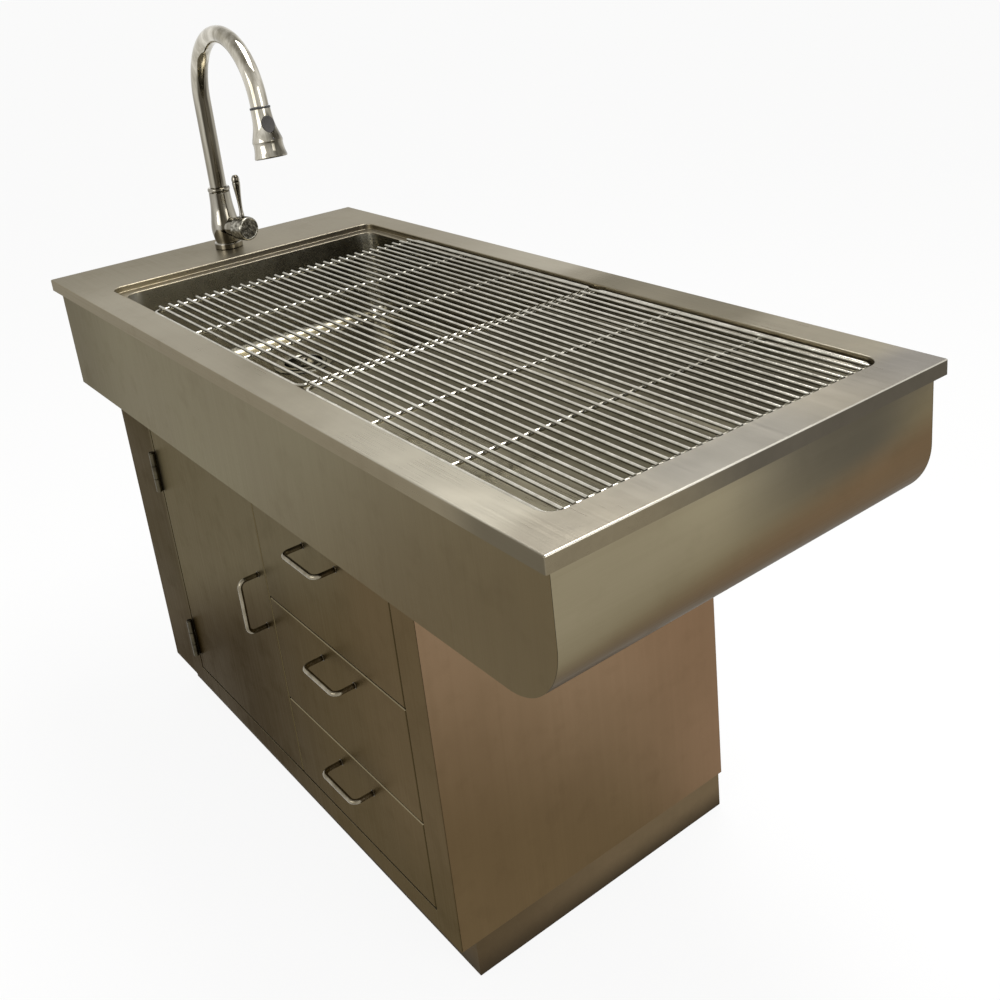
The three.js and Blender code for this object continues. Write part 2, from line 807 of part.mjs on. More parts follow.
const faceFrame = () => {
  const y0 = cabinet.y0;
  const plate = block(cabinet.x0, cabinet.x1, y0, y0 + sheet, cabinet.z0, cabinet.z1);
  const collar = block(
    bay.x0 - sheet, bay.x1 + sheet, y0, y0 + frameReturn, bay.z0 - sheet, bay.z1 + sheet,
  );
  const shelf = block(
    bay.x0 - sheet, bay.x1 + sheet, y0, y0 + catchReturn, bay.z1, bay.z1 + sheet,
  );
  return cut(
    joined(plate, collar, shelf),
    block(bay.x0, bay.x1, y0 - overrun, y0 + catchReturn + overrun, bay.z0, bay.z1),
  );
};

const plinth = () => {
  const x0 = cabinet.x0 + plinthSideSetback;
  const x1 = cabinet.x1 - plinthSideSetback;
  const y0 = cabinet.y0 + plinthFrontSetback;
  const y1 = cabinet.y1 - sheet;
  const z1 = plinthHeight - seam;
  return cut(
    block(x0, x1, y0, y1, 0, z1),
    block(x0 + sheet, x1 - sheet, y0 + sheet, y1 - sheet, sheet, z1 - sheet),
    block(
      x0 + plinthFlange, x1 - plinthFlange, y0 + plinthFlange, y1 - plinthFlange,
      -overrun, z1 + overrun,
    ),
  );
};

// Fronts: folded pans with their edges returned at the back, flush with the face frame
const frontPan = (x0, x1, z0, z1) => {
  const y0 = cabinet.y0;
  return cut(
    block(x0, x1, y0, frontBack, z0, z1),
    block(x0 + sheet, x1 - sheet, y0 + sheet, frontBack - sheet, z0 + sheet, z1 - sheet),
    block(
      x0 + frontReturn, x1 - frontReturn, y0 + sheet, frontBack + overrun,
      z0 + frontReturn, z1 - frontReturn,
    ),
  );
};

// Handle: a round rod bent to a square U, its feet on the front
const handle = (from, to) => {
  const out = new THREE.Vector3(0, -handleStandoff, 0);
  const normal = to.clone().sub(from).cross(out).normalize();
  const corners = [from, from.clone().add(out), to.clone().add(out), to];
  return rodAlong(filleted(corners, handleBend, arcSteps / 2), normal, handleRod / 2, handleSides);
};

const levelHandle = (x, z) => handle(
  new THREE.Vector3(x - handleCentres / 2, cabinet.y0 - seam, z),
  new THREE.Vector3(x + handleCentres / 2, cabinet.y0 - seam, z),
);

const uprightHandle = (x, z) => handle(
  new THREE.Vector3(x, cabinet.y0 - seam, z - handleCentres / 2),
  new THREE.Vector3(x, cabinet.y0 - seam, z + handleCentres / 2),
);

// Hinge: a barrel that stands proud of the gap between stile and door, two leaves that
// reach into the gap, and a pin through all three knuckles
const hingeX = bay.x0 + hingeGap / 2;
const barrelRadius = hingeBarrel / 2;
const hingeY = cabinet.y0 - barrelRadius - 2 * seam;
const leafEnd = cabinet.y0 + hingeLeafDepth;
const knuckle = hingeLength / 3;
const pinRadius = hingePin / 2;

const hingeTube = (z0, z1) => cut(
  pillar(hingeX, hingeY, z0, z1, barrelRadius, smallSides),
  pillar(hingeX, hingeY, z0 - overrun, z1 + overrun, pinRadius + hingePinClearance, smallSides),
);

const knuckleRoom = (z0, z1) => pillar(hingeX, hingeY, z0, z1, barrelRadius + seam, smallSides);

const pinRoom = (z0, z1) => pillar(
  hingeX, hingeY, z0 - overrun, z1 + overrun, pinRadius + hingePinClearance, smallSides,
);

const leafPlate = (side, z0, z1) => {
  const near = hingeX + side * (seam / 2);
  const far = hingeX + side * (seam / 2 + hingeLeaf);
  return block(
    Math.min(near, far), Math.max(near, far), hingeY + pinRadius + 2 * hingePinClearance,
    leafEnd, z0, z1,
  );
};

const frameLeaf = (z0) => {
  const z1 = z0 + hingeLength;
  const plate = cut(
    leafPlate(-1, z0, z1),
    knuckleRoom(z0 + knuckle - seam, z0 + 2 * knuckle + seam),
  );
  return cut(
    joined(plate, hingeTube(z0, z0 + knuckle - seam), hingeTube(z0 + 2 * knuckle + seam, z1)),
    pinRoom(z0, z1),
  );
};

const doorLeaf = (z0) => {
  const z1 = z0 + hingeLength;
  const plate = cut(
    leafPlate(1, z0, z1),
    knuckleRoom(z0 - overrun, z0 + knuckle + seam),
    knuckleRoom(z0 + 2 * knuckle - seam, z1 + overrun),
  );
  return cut(
    joined(plate, hingeTube(z0 + knuckle + seam, z0 + 2 * knuckle - seam)),
    pinRoom(z0, z1),
  );
};

const hingePinSolid = (z0) => joined(
  pillar(hingeX, hingeY, z0 - 2 * seam, z0 + hingeLength + 2 * seam, pinRadius, smallSides),
  pillar(
    hingeX, hingeY, z0 + hingeLength + seam, z0 + hingeLength + seam + sheet,
    barrelRadius - seam, smallSides,
  ),
);

// Magnetic catch under the face frame's deep return, and its strike on the door
const catchX = door.x1 - doorHandleInset - catchLength;

const doorMagnet = () => block(
  catchX, catchX + catchLength,
  frontBack + sheet + 3 * seam, frontBack + sheet + 3 * seam + catchDepth,
  bay.z1 - seam - catchHeight, bay.z1 - seam,
);

const doorStrike = () => block(
  catchX, catchX + catchLength, frontBack + seam, frontBack + seam + sheet,
  door.z1 - strikeHeight, door.z1,
);

// Drawer: a folded box behind the front whose side rails run in channels on the partitions
const channelLeft = drawerBay.x0 + seam;
const channelRight = drawerBay.x1 - seam;
const boxX0 = channelLeft + runnerDepth + seam;
const boxX1 = channelRight - runnerDepth - seam;
const boxFront = frontBack + seam;
const boxLength = cabinet.y1 - boxBackClearance - boxFront;

const drawerBox = (z0, frontHeight) => {
  const height = frontHeight * boxHeightShare;
  const z = z0 + boxRise;
  const shell = cut(
    block(boxX0, boxX1, boxFront, boxFront + boxLength, z, z + height),
    block(
      boxX0 + sheet, boxX1 - sheet, boxFront + sheet, boxFront + boxLength - sheet,
      z + sheet, z + height + overrun,
    ),
  );
  const railZ0 = z0 + runnerRise + runnerLip + railClearance;
  const railZ1 = z0 + runnerRise + runnerHeight - runnerLip - railClearance;
  const railReach = runnerDepth - sheet - railClearance;
  return joined(
    shell,
    block(boxX0 - railReach, boxX0 + sheet / 2, boxFront + railReach, boxFront + boxLength,
      railZ0, railZ1),
    block(boxX1 - sheet / 2, boxX1 + railReach, boxFront + railReach, boxFront + boxLength,
      railZ0, railZ1),
  );
};

const channel = (x, inward, z0) => {
  const y0 = boxFront + runnerDepth;
  const y1 = boxFront + boxLength;
  const z1 = z0 + runnerHeight;
  const x1 = x + inward * sheet;
  const x2 = x + inward * runnerDepth;
  const shape = new THREE.Shape();
  shape.moveTo(x, z0);
  shape.lineTo(x2, z0);
  shape.lineTo(x2, z0 + runnerLip);
  shape.lineTo(x1, z0 + runnerLip);
  shape.lineTo(x1, z1 - runnerLip);
  shape.lineTo(x2, z1 - runnerLip);
  shape.lineTo(x2, z1);
  shape.lineTo(x, z1);
  return drawnAcross(shape, y0, y1);
};

// Tap: a turned body with a side valve, a collar, a hollow arched spout that swivels, a
// spray on a hose, and a hub with a lever that mixes and meters
const tapX = deckLeft + tapFromLeft;
const tapY = tapShift;
const tapZ = deckHeight + seam;
const valveZ = deckHeight + valveHeight;

// Pairs of shares become pairs of a radius and a height
const scaled = (shares, radius, height) => shares.map(([r, z]) => [r * radius, z * height]);

// The valve and what sits on it point a little to the back of the free end
const turnedValve = (piece) => piece
  .translate([-tapX, -tapY, 0])
  .rotate([0, 0, valveTurnDegrees])
  .translate([tapX, tapY, 0]);

const tapBody = () => {
  const post = turned([
    [0, -tapShankLength],
    [tapShankRadius, -tapShankLength],
    [tapShankRadius, 0],
    [tapBaseRadius, 0],
    [tapBaseRadius, tapBaseHeight],
    ...scaled(tapBodyShares, tapBodyRadius, tapBodyHeight),
    [0, tapBodyHeight],
  ]);
  return joined(
    post.translate([tapX, tapY, tapZ]),
    turnedValve(bar(tapX, tapX + valveReach, tapY, valveZ, valveRadius)),
  );
};

const tapCollar = () => turned([
  [0, 0],
  ...scaled(collarShares, collarRadius, collarHeight),
  [0, collarHeight],
]).translate([tapX, tapY, tapZ + tapBodyHeight + seam]);

const tapNut = () => cut(
  pillar(tapX, tapY, deckUnder - seam - nutHeight, deckUnder - seam, nutRadius, rodSides),
  pillar(
    tapX, tapY, deckUnder - nutHeight - overrun, deckUnder + overrun,
    tapShankRadius + seam,
  ),
);

const spoutFoot = tapZ + tapBodyHeight + seam + collarHeight + seam;
const spoutTurn = THREE.MathUtils.degToRad(spoutArcDegrees);

const spoutPath = () => {
  const centreZ = deckHeight + spoutRise;
  const steps = spoutSteps;
  const arc = Array.from({ length: steps + 1 }, (_, i) => {
    const turn = (spoutTurn * i) / steps;
    return new THREE.Vector3(
      tapX + spoutArcRadius * (1 - Math.cos(turn)), tapY, centreZ + spoutArcRadius * Math.sin(turn),
    );
  });
  const foot = new THREE.Vector3(tapX, tapY, spoutFoot);
  const end = arc[steps].clone().add(spoutEndAxis().multiplyScalar(spoutTail));
  return [foot, ...arc, end];
};

const spoutEndAxis = () => new THREE.Vector3(Math.sin(spoutTurn), 0, Math.cos(spoutTurn));

const spoutEnd = () => {
  const path = spoutPath();
  return path[path.length - 1];
};

const tapSpout = () => {
  const across = new THREE.Vector3(0, 1, 0);
  const path = spoutPath();
  const longer = [...path];
  const first = longer[0].clone().add(new THREE.Vector3(0, 0, -overrun));
  const last = spoutEnd().add(spoutEndAxis().multiplyScalar(overrun));
  longer.splice(0, 1, first);
  longer.splice(longer.length - 1, 1, last);
  return cut(
    rodAlong(path, across, spoutRadius, roundSides / 2),
    rodAlong(longer, across, spoutRadius - spoutWall, roundSides / 2),
  );
};

// Places a piece turned about its own Z axis on the spray's axis, a length down from the
// spout's end
const onSpray = (geometry, down) => {
  const spin = new THREE.Quaternion().setFromUnitVectors(new THREE.Vector3(0, 0, 1), spoutEndAxis());
  const place = spoutEnd().add(spoutEndAxis().multiplyScalar(down));
  geometry.applyMatrix4(new THREE.Matrix4().compose(place, spin, new THREE.Vector3(1, 1, 1)));
  return solid(geometry);
};

const turnedOnSpray = (profile, down, sides = roundSides) => {
  const points = profile.map(([r, z]) => new THREE.Vector2(r, z));
  const geometry = new THREE.LatheGeometry(points, sides);
  geometry.rotateX(Math.PI / 2);
  return onSpray(geometry, down);
};

const sprayDock = () => turnedOnSpray([
  [0, -dockLength], [dockRadius - seam, -dockLength], [dockRadius, -dockLength + seam],
  [dockRadius, 0], [0, 0],
], 0);

const buttonOutline = (grow) => {
  const shape = new THREE.Shape();
  shape.absellipse(0, 0, buttonLength / 2 + grow, buttonWidth / 2 + grow, 0, Math.PI * 2, false, 0);
  return shape;
};

// The button faces out of the tap's arc, square to the spray's axis
const buttonGeometry = (grow, low, high) => {
  const geometry = new THREE.ExtrudeGeometry(buttonOutline(grow), {
    depth: high - low, bevelEnabled: false, curveSegments: smallSides,
  });
  geometry.translate(0, 0, low);
  geometry.rotateY(-Math.PI / 2);
  return geometry;
};

const buttonSeat = sprayNeckRadius * buttonSeatShare;

const sprayHead = () => {
  const faceRadius = sprayFaceRadius * sprayFaceShare;
  const shell = turnedOnSpray([
    [0, 0],
    ...scaled(sprayShares, sprayFaceRadius, sprayLength),
    [faceRadius, sprayLength],
    [faceRadius, sprayLength - sprayFaceDepth],
    [0, sprayLength - sprayFaceDepth],
  ], seam);
  const recess = onSpray(
    buttonGeometry(seam, buttonSeat, sprayFaceRadius * 2), seam + buttonFromTop,
  );
  return cut(shell, recess);
};

const sprayFace = () => turnedOnSpray([
  [0, 0],
  ...scaled(sprayFaceShares, sprayFaceRadius * sprayFaceShare - seam, sprayFaceDepth),
  [0, sprayFaceDepth],
], sprayLength - sprayFaceDepth + 2 * seam);

const sprayButton = () => onSpray(
  buttonGeometry(0, buttonSeat + buttonTravel + seam, sprayNeckRadius + buttonRise),
  seam + buttonFromTop,
);

// Hub and lever, drawn along X and then turned with the valve
const hubX0 = tapX + valveReach + seam;
const hubX1 = hubX0 + hubLength;
const leverX = (hubX0 + hubX1) / 2;
const leverReach = hubRadius * Math.tan(THREE.MathUtils.degToRad(leverTiltDegrees));

const mixerHub = () => {
  const points = [[0, 0], ...scaled(hubShares, hubRadius, hubLength), [0, hubLength]]
    .map(([r, z]) => new THREE.Vector2(r, z));
  const geometry = new THREE.LatheGeometry(points, roundSides);
  geometry.rotateX(Math.PI / 2);
  geometry.rotateY(Math.PI / 2);
  geometry.translate(hubX0, tapY, valveZ);
  const slot = block(
    leverX - leverRadius - 2 * seam, leverX + leverRadius + leverReach + 2 * seam,
    tapY - leverRadius - seam, tapY + leverRadius + seam,
    valveZ - leverRadius - 2 * seam, valveZ + hubRadius + overrun,
  );
  return turnedValve(cut(solid(geometry), slot));
};

const mixerLever = () => {
  const foot = leverRadius - 3 * seam;
  const stick = turned([
    [0, -foot],
    [foot, -foot],
    ...scaled(leverShares, leverRadius, leverLength),
    ...scaled(leverTipShares, leverTipRadius, leverLength),
    [0, leverLength],
  ], smallSides);
  return turnedValve(stick.translate([leverX, tapY, valveZ]));
};

// The table
const table = new THREE.Group();

const place = (name, piece, finish) => {
  const material = new THREE.MeshStandardMaterial(finish);
  const mesh = new THREE.Mesh(geometryOf(piece), material);
  mesh.name = name;
  table.add(mesh);
};

place('deck_rim', deckRim(), brushed);
place('apron_front', drawnAcross(apronShape(), troughY0, troughY0 + sheet), brushed);
place('apron_back', drawnAcross(apronShape(), troughY1 - sheet, troughY1), brushed);
place('trough_belly', troughBelly(), brushed);
place(
  'trough_end_left',
  block(
    troughX0, troughX0 + sheet, troughY0 + sheet + seam, troughY1 - sheet - seam,
    troughBottom + sheet + seam, troughTop,
  ),
  brushed,
);
place('sink_bowl', sinkBowl(), brushedDark);
place('sloped_tray', slopedTray(), brushed);
place('drain_cup', drainCup(), wireFinish);
place('drain_locknut', drainLocknut(), zincFinish);
place('drain_tailpiece', drainTailpiece(), chromeFinish);
place('strainer_basket', strainerBasket(), wireFinish);
place('grate_left', grate(grateLeftX0, grateLeftX0 + grateLength), wireFinish);
place('grate_right', grate(grateRightX1 - grateLength, grateRightX1), wireFinish);

place('cabinet_side_left', cabinetSide(cabinet.x0, 1), brushedDark);
place('cabinet_side_right', cabinetSide(cabinet.x1, -1), brushedDark);
place('cabinet_back', cabinetBack(), brushedDark);
place('cabinet_floor', cabinetFloor(), brushedDark);
place('partition_left', partition(drawerBay.x0, -1), brushedDark);
place('partition_right', partition(drawerBay.x1, 1), brushedDark);
place('face_frame', faceFrame(), brushedDark);
place('plinth', plinth(), brushedDark);

place('door_panel', frontPan(door.x0, door.x1, door.z0, door.z1), brushedDark);
place(
  'door_handle',
  uprightHandle(door.x1 - doorHandleInset, door.z0 + doorHandleHeight),
  wireFinish,
);
const hinges = {
  lower: door.z0 + lowerHingeRise,
  upper: door.z1 - upperHingeDrop - hingeLength,
};
Object.entries(hinges).forEach(([level, z0]) => {
  place(`hinge_${level}_frame_leaf`, frameLeaf(z0), zincFinish);
  place(`hinge_${level}_door_leaf`, doorLeaf(z0), zincFinish);
  place(`hinge_${level}_pin`, hingePinSolid(z0), zincFinish);
});
place('door_magnet', doorMagnet(), catchPlastic);
place('door_strike', doorStrike(), zincFinish);

let drawerZ = bay.z0 + frontGap;
const drawers = { lower: lowerDrawerShare, middle: middleDrawerShare, upper: upperDrawerShare };
const clearBay = bay.z1 - bay.z0 - (Object.keys(drawers).length + 1) * frontGap;
Object.entries(drawers).forEach(([level, share]) => {
  const height = clearBay * share;
  const x0 = drawerBay.x0;
  const x1 = drawerBay.x1;
  const handleX = (x0 + x1) / 2 + drawerHandleShift;
  place(`drawer_${level}_front`, frontPan(x0, x1, drawerZ, drawerZ + height), brushedDark);
  place(
    `drawer_${level}_handle`, levelHandle(handleX, drawerZ + height - drawerHandleDrop), wireFinish,
  );
  place(`drawer_${level}_box`, drawerBox(drawerZ, height), zincFinish);
  place(`drawer_${level}_runner_left`, channel(channelLeft, 1, drawerZ + runnerRise), zincFinish);
  place(`drawer_${level}_runner_right`, channel(channelRight, -1, drawerZ + runnerRise), zincFinish);
  drawerZ += height + frontGap;
});

place('tap_body', tapBody(), chromeFinish);
place('tap_collar', tapCollar(), chromeFinish);
place('tap_nut', tapNut(), zincFinish);
place('tap_spout', tapSpout(), chromeFinish);
place('spray_dock', sprayDock(), greyPlastic);
place('spray_head', sprayHead(), chromeFinish);
place('spray_face', sprayFace(), greyPlastic);
place('spray_button', sprayButton(), greyPlastic);
place('mixer_hub', mixerHub(), chromeFinish);
place('mixer_lever', mixerLever(), chromeFinish);

export default table;
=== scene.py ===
# Looks of the veterinary surgery table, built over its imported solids. Places are written
# in millimetres in the part's own frame and turned into metres by the helpers.
import math

import bmesh
import bpy
from mathutils import Matrix, Vector


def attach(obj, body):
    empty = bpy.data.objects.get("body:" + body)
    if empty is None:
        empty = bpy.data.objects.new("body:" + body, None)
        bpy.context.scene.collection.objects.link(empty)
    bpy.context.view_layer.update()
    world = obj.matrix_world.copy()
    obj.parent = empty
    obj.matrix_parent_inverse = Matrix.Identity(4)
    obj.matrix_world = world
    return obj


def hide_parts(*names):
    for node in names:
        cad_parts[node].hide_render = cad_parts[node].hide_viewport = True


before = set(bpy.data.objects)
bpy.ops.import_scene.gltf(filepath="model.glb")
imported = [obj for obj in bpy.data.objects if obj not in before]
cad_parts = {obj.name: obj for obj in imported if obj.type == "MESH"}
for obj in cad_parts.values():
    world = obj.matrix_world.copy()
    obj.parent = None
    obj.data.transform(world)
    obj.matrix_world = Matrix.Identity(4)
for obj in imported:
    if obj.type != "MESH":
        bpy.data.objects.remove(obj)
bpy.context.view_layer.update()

MM = 0.001
LEFT = Vector((-1, 0, 0))
RIGHT = Vector((1, 0, 0))
FRONT = Vector((0, -1, 0))
BACK = Vector((0, 1, 0))
DOWN = Vector((0, 0, -1))
UP = Vector((0, 0, 1))


def mm(*place):
    """A place in millimetres as a vector in metres."""
    return Vector(place) * MM


# Camera
def set_camera():
    right = Vector((0.62164, 0.77816, -0.08967)).normalized()
    forward = Vector((-0.75238, 0.56132, -0.34473)).normalized()
    up = right.cross(forward).normalized()
    data = bpy.data.cameras.new("photo_camera")
    data.lens = 42.29
    data.sensor_width = 36
    data.shift_x = -0.04
    data.shift_y = -0.15
    data.clip_end = 200
    camera = bpy.data.objects.new("photo_camera", data)
    bpy.context.scene.collection.objects.link(camera)
    turn = Matrix((right, up, -forward)).transposed().to_4x4()
    camera.matrix_world = Matrix.Translation((1.5329, -0.8905, 1.4603)) @ turn
    bpy.context.scene.camera = camera


set_camera()
bpy.context.scene.view_settings.view_transform = "Standard"


# Shader building
class Finish:
    """One material with its node tree, built step by step. A step is (direction, start,
    end), with distances in metres."""

    def __init__(self, name, metallic, ior=1.45):
        self.material = bpy.data.materials.new(name)
        self.material.use_nodes = True
        self.tree = self.material.node_tree
        self.shader = self.tree.nodes["Principled BSDF"]
        self.shader.inputs["Metallic"].default_value = metallic
        self.shader.inputs["IOR"].default_value = ior

    def node(self, kind, **settings):
        made = self.tree.nodes.new(kind)
        for key, value in settings.items():
            setattr(made, key, value)
        return made

    def link(self, source, target):
        self.tree.links.new(source, target)

    def place(self, scale):
        """Object coordinates, stretched for one pattern."""
        coords = self.node("ShaderNodeTexCoord")
        mapping = self.node("ShaderNodeMapping")
        mapping.inputs["Scale"].default_value = scale
        self.link(coords.outputs["Object"], mapping.inputs["Vector"])
        return mapping.outputs["Vector"]

    def noise(self, scale, detail=3.0, rough=0.5):
        made = self.node("ShaderNodeTexNoise")
        made.inputs["Scale"].default_value = 1.0
        made.inputs["Detail"].default_value = detail
        made.inputs["Roughness"].default_value = rough
        self.link(self.place(scale), made.inputs["Vector"])
        return made.outputs["Fac"]

    def ranged(self, source, low, high, to_low=0.0, to_high=1.0):
        """A value stretched from one range to another and held inside it."""
        made = self.node("ShaderNodeMapRange")
        made.inputs["From Min"].default_value = low
        made.inputs["From Max"].default_value = high
        made.inputs["To Min"].default_value = to_low
        made.inputs["To Max"].default_value = to_high
        self.link(source, made.inputs["Value"])
        return made.outputs["Result"]

    def dot(self, source, direction):
        made = self.node("ShaderNodeVectorMath", operation="DOT_PRODUCT")
        self.link(source, made.inputs[0])
        made.inputs[1].default_value = direction
        return made.outputs["Value"]

    def along(self, direction, start, end):
        """A soft step along a direction."""
        made = self.ranged(self.dot(self.place((1, 1, 1)), direction), start, end)
        made.node.interpolation_type = "SMOOTHSTEP"
        return made

    def towards(self, direction, start, end):
        """A step on how far a surface turns to one side of its piece."""
        coords = self.node("ShaderNodeTexCoord")
        return self.ranged(self.dot(coords.outputs["Normal"], direction), start, end)

    def maths(self, operation, first, second):
        made = self.node("ShaderNodeMath", operation=operation)
        self.link(first, made.inputs[0])
        self.link(second, made.inputs[1])
        return made.outputs[0]

    def sum(self, *values):
        total = values[0]
        for value in values[1:]:
            total = self.maths("ADD", total, value)
        return total

    def within(self, amount, steps):
        """An amount that holds only inside some soft steps."""
        for step in steps:
            amount = self.maths("MULTIPLY", amount, self.along(*step))
        return amount

    def mix(self, factor, first, second):
        made = self.node("ShaderNodeMix", data_type="RGBA")
        self.link(factor, made.inputs["Factor"])
        for socket, value in ((made.inputs["A"], first), (made.inputs["B"], second)):
            if isinstance(value, tuple):
                socket.default_value = (*value, 1)
            else:
                self.link(value, socket)
        return made.outputs["Result"]

    def toned(self, tone, light, dark):
        """Two screen colours mixed by a pattern."""
        return self.mix(tone, shade(dark), shade(light))

    def on_areas(self, colour, tone, areas):
        """Lays other tones over some areas, each given as (steps, light, dark). In this script
        these tones are painted shade, highlights and reflections.
        """
        for steps, light, dark in areas:
            amount = self.within(self.along(*steps[0]), steps[1:])
            colour = self.mix(amount, colour, self.toned(tone, light, dark))
        return colour

    def on_sides(self, colour, tone, sides):
        """Lays other tones over the faces that turn one way, as painted shade, highlights and
        reflections that follow the faces' direction. Each is (direction, start, end, light, dark),
        with any steps after it."""
        for direction, start, end, light, dark, *steps in sides:
            amount = self.within(self.towards(direction, start, end), steps)
            colour = self.mix(amount, colour, self.toned(tone, light, dark))
        return colour

    def bump(self, height, distance, strength):
        made = self.node("ShaderNodeBump")
        made.inputs["Strength"].default_value = strength
        made.inputs["Distance"].default_value = distance
        self.link(height, made.inputs["Height"])
        self.link(made.outputs["Normal"], self.shader.inputs["Normal"])

    def set(self, socket, value):
        if isinstance(value, tuple):
            self.shader.inputs[socket].default_value = (*value, 1)
        elif isinstance(value, (int, float)):
            self.shader.inputs[socket].default_value = value
        else:
            self.link(value, self.shader.inputs[socket])


def shade(hex_colour):
    """A colour as seen on screen, as the linear numbers that shaders take."""
    parts = [int(hex_colour[i:i + 2], 16) / 255 for i in (0, 2, 4)]
    return tuple(c / 12.92 if c <= 0.04045 else ((c + 0.055) / 1.055) ** 2.4 for c in parts)


def even(scale):
    """The scale of a pattern without a grain."""
    return (scale,) * 3


def grained(axis, along, across):
    """The scale of a pattern whose grain runs along one axis."""
    return tuple(along if name == axis else across for name in "xyz")


# Most values of a noise lie in this range
NOISE = (0.3, 0.7)


def brushed_steel(name, light, dark, grain, rough, areas=(), sides=(), edge=(0.66, 0.64, 0.6)):
    """Stainless sheet with a linear grain, cloudy stains and water marks, over which areas and
    sides lay painted shade, highlights and reflections. grain is the axis that the grain runs
    along, edge the tint at grazing angles."""
    finish = Finish(name, 1.0)
    lines = finish.noise(grained(grain, 5, 700), 2.0)
    bands = finish.noise(grained(grain, 1.6, 90), 3.0, 0.6)
    clouds = finish.noise(even(3.1), 4.0, 0.55)
    marks = finish.noise(even(21), 4.0, 0.55)
    tone = finish.sum(
        finish.ranged(lines, *NOISE, -0.07, 0.07),
        finish.ranged(bands, *NOISE, -0.07, 0.07),
        finish.ranged(clouds, *NOISE, 0.2, 0.84),
        finish.ranged(marks, 0.53, 0.7, 0.0, -0.12),
    )
    colour = finish.on_areas(finish.toned(tone, light, dark), tone, areas)
    finish.set("Base Color", finish.on_sides(colour, tone, sides))
    finish.set("Specular Tint", edge)
    finish.set(
        "Roughness",
        finish.sum(
            finish.ranged(lines, *NOISE, rough - 0.05, rough + 0.05),
            finish.ranged(clouds, 0.35, 0.65, -0.05, 0.05),
            finish.ranged(marks, 0.5, 0.7, 0.0, 0.05),
        ),
    )
    finish.bump(lines, 0.00003, 0.4)
    return finish.material


def polished(name, light, dark, rough, wear, streaks=even(55), areas=(), sides=()):
    """Bright steel or plating with streaks, water marks and handling haze. On the tap's chrome
    and the mixer hub the streaks of a light and a dark tone are painted reflections, and areas
    and sides lay painted shade and highlights over it.
    """
    finish = Finish(name, 1.0)
    clouds = finish.noise(streaks, 4.0, 0.6)
    specks = finish.noise(even(420), 2.0)
    tone = finish.ranged(clouds, 0.34, 0.66)
    colour = finish.on_areas(finish.toned(tone, light, dark), tone, areas)
    finish.set("Base Color", finish.on_sides(colour, tone, sides))
    finish.set(
        "Roughness",
        finish.sum(
            finish.ranged(clouds, 0.35, 0.7, rough, rough + wear),
            finish.ranged(specks, 0.6, 0.75, 0.0, wear),
        ),
    )
    finish.bump(specks, 0.00002, 0.4)
    return finish.material


def moulded(name, light, dark, rough):
    """Moulded plastic with a fine grain."""
    finish = Finish(name, 0.0, 1.49)
    grain = finish.noise(even(900), 3.0)
    clouds = finish.noise(even(60), 3.0)
    finish.set("Base Color", finish.toned(finish.ranged(clouds, *NOISE), light, dark))
    finish.set("Roughness", finish.ranged(grain, *NOISE, rough - 0.06, rough + 0.08))
    finish.bump(grain, 0.00008, 0.6)
    return finish.material


# Steps that several areas and sides of painted shade and reflection share: the strips of the
# deck beside its opening, the tap's post and the part of the spout over the sink
FRONT_STRIP = (FRONT, 0.255, 0.275)
BACK_STRIP = (BACK, 0.255, 0.275)
RIGHT_STRIP = (RIGHT, 0.655, 0.71)
AT_POST = (LEFT, 0.5, 0.56)
OVER_SINK = (RIGHT, -0.5, -0.45)
UNDER_ARCH = (DOWN, -1.2, -1.17)

# Deck: the areas are painted shade and reflections, darker at the left end, lighter and
# darker patches on the strips beside the opening and greyer at the free end. The sides are
# highlight on the rounded top edge at the free end.
# painted shade on the lip's faces that turn to the front and to the free end, and a painted
deck_steel = brushed_steel(
    "deck_brushed_steel", "b3ad9d", "9d9686", "x", 0.34,
    areas=[
        ([(LEFT, 0.42, 0.72)], "989180", "837c6a"),
        ([(LEFT, 0.52, 0.62), (BACK, -0.05, 0.1)], "aba493", "948d7c"),
        ([BACK_STRIP, (RIGHT, -0.63, -0.57)], "a9a292", "918a7a"),
        ([BACK_STRIP, (RIGHT, -0.45, -0.05), (LEFT, -0.08, -0.02)], "bdb7a8", "a59f90"),
        ([BACK_STRIP, (RIGHT, 0.09, 0.15), (LEFT, -0.5, -0.42)], "8b8474", "736d5d"),
        ([FRONT_STRIP, (RIGHT, 0.2, 0.42), (LEFT, -0.72, -0.62)], "c8c2b2", "b0aa9a"),
        ([RIGHT_STRIP], "a69f91", "938c7d"),
        ([RIGHT_STRIP, (BACK, 0.1, 0.3)], "96928c", "85817b"),
        ([RIGHT_STRIP, (BACK, -0.24, -0.1), (FRONT, -0.16, -0.03)], "8e8a81", "7c7870"),
    ],
    sides=[
        (FRONT, 0.5, 0.9, "8f8671", "796f5a"),
        (FRONT, 0.5, 0.9, "6c6555", "5b5343", (RIGHT, 0.56, 0.66)),
        (RIGHT, 0.5, 0.9, "8a8069", "6f6551"),
        (RIGHT, 0.5, 0.9, "5e584d", "4b463d", (BACK, -0.22, -0.02)),
        ((0.7, 0, 0.7), 0.86, 0.96, "d6d2c6", "c2bdb0", (RIGHT, 0.7, 0.72)),
    ],
)
# Aprons: painted shade darker towards the left end, and a painted reflection of the floor,
# darker below a slanting line that rises towards the free end.
apron_steel = brushed_steel(
    "apron_brushed_steel", "868069", "766d58", "z", 0.42,
    areas=[
        ([(LEFT, 0.4, 0.72)], "716a55", "635b45"),
        ([((1, 0, -1.6), -1.28, -0.6)], "6c5f46", "5e523c"),
    ],
)
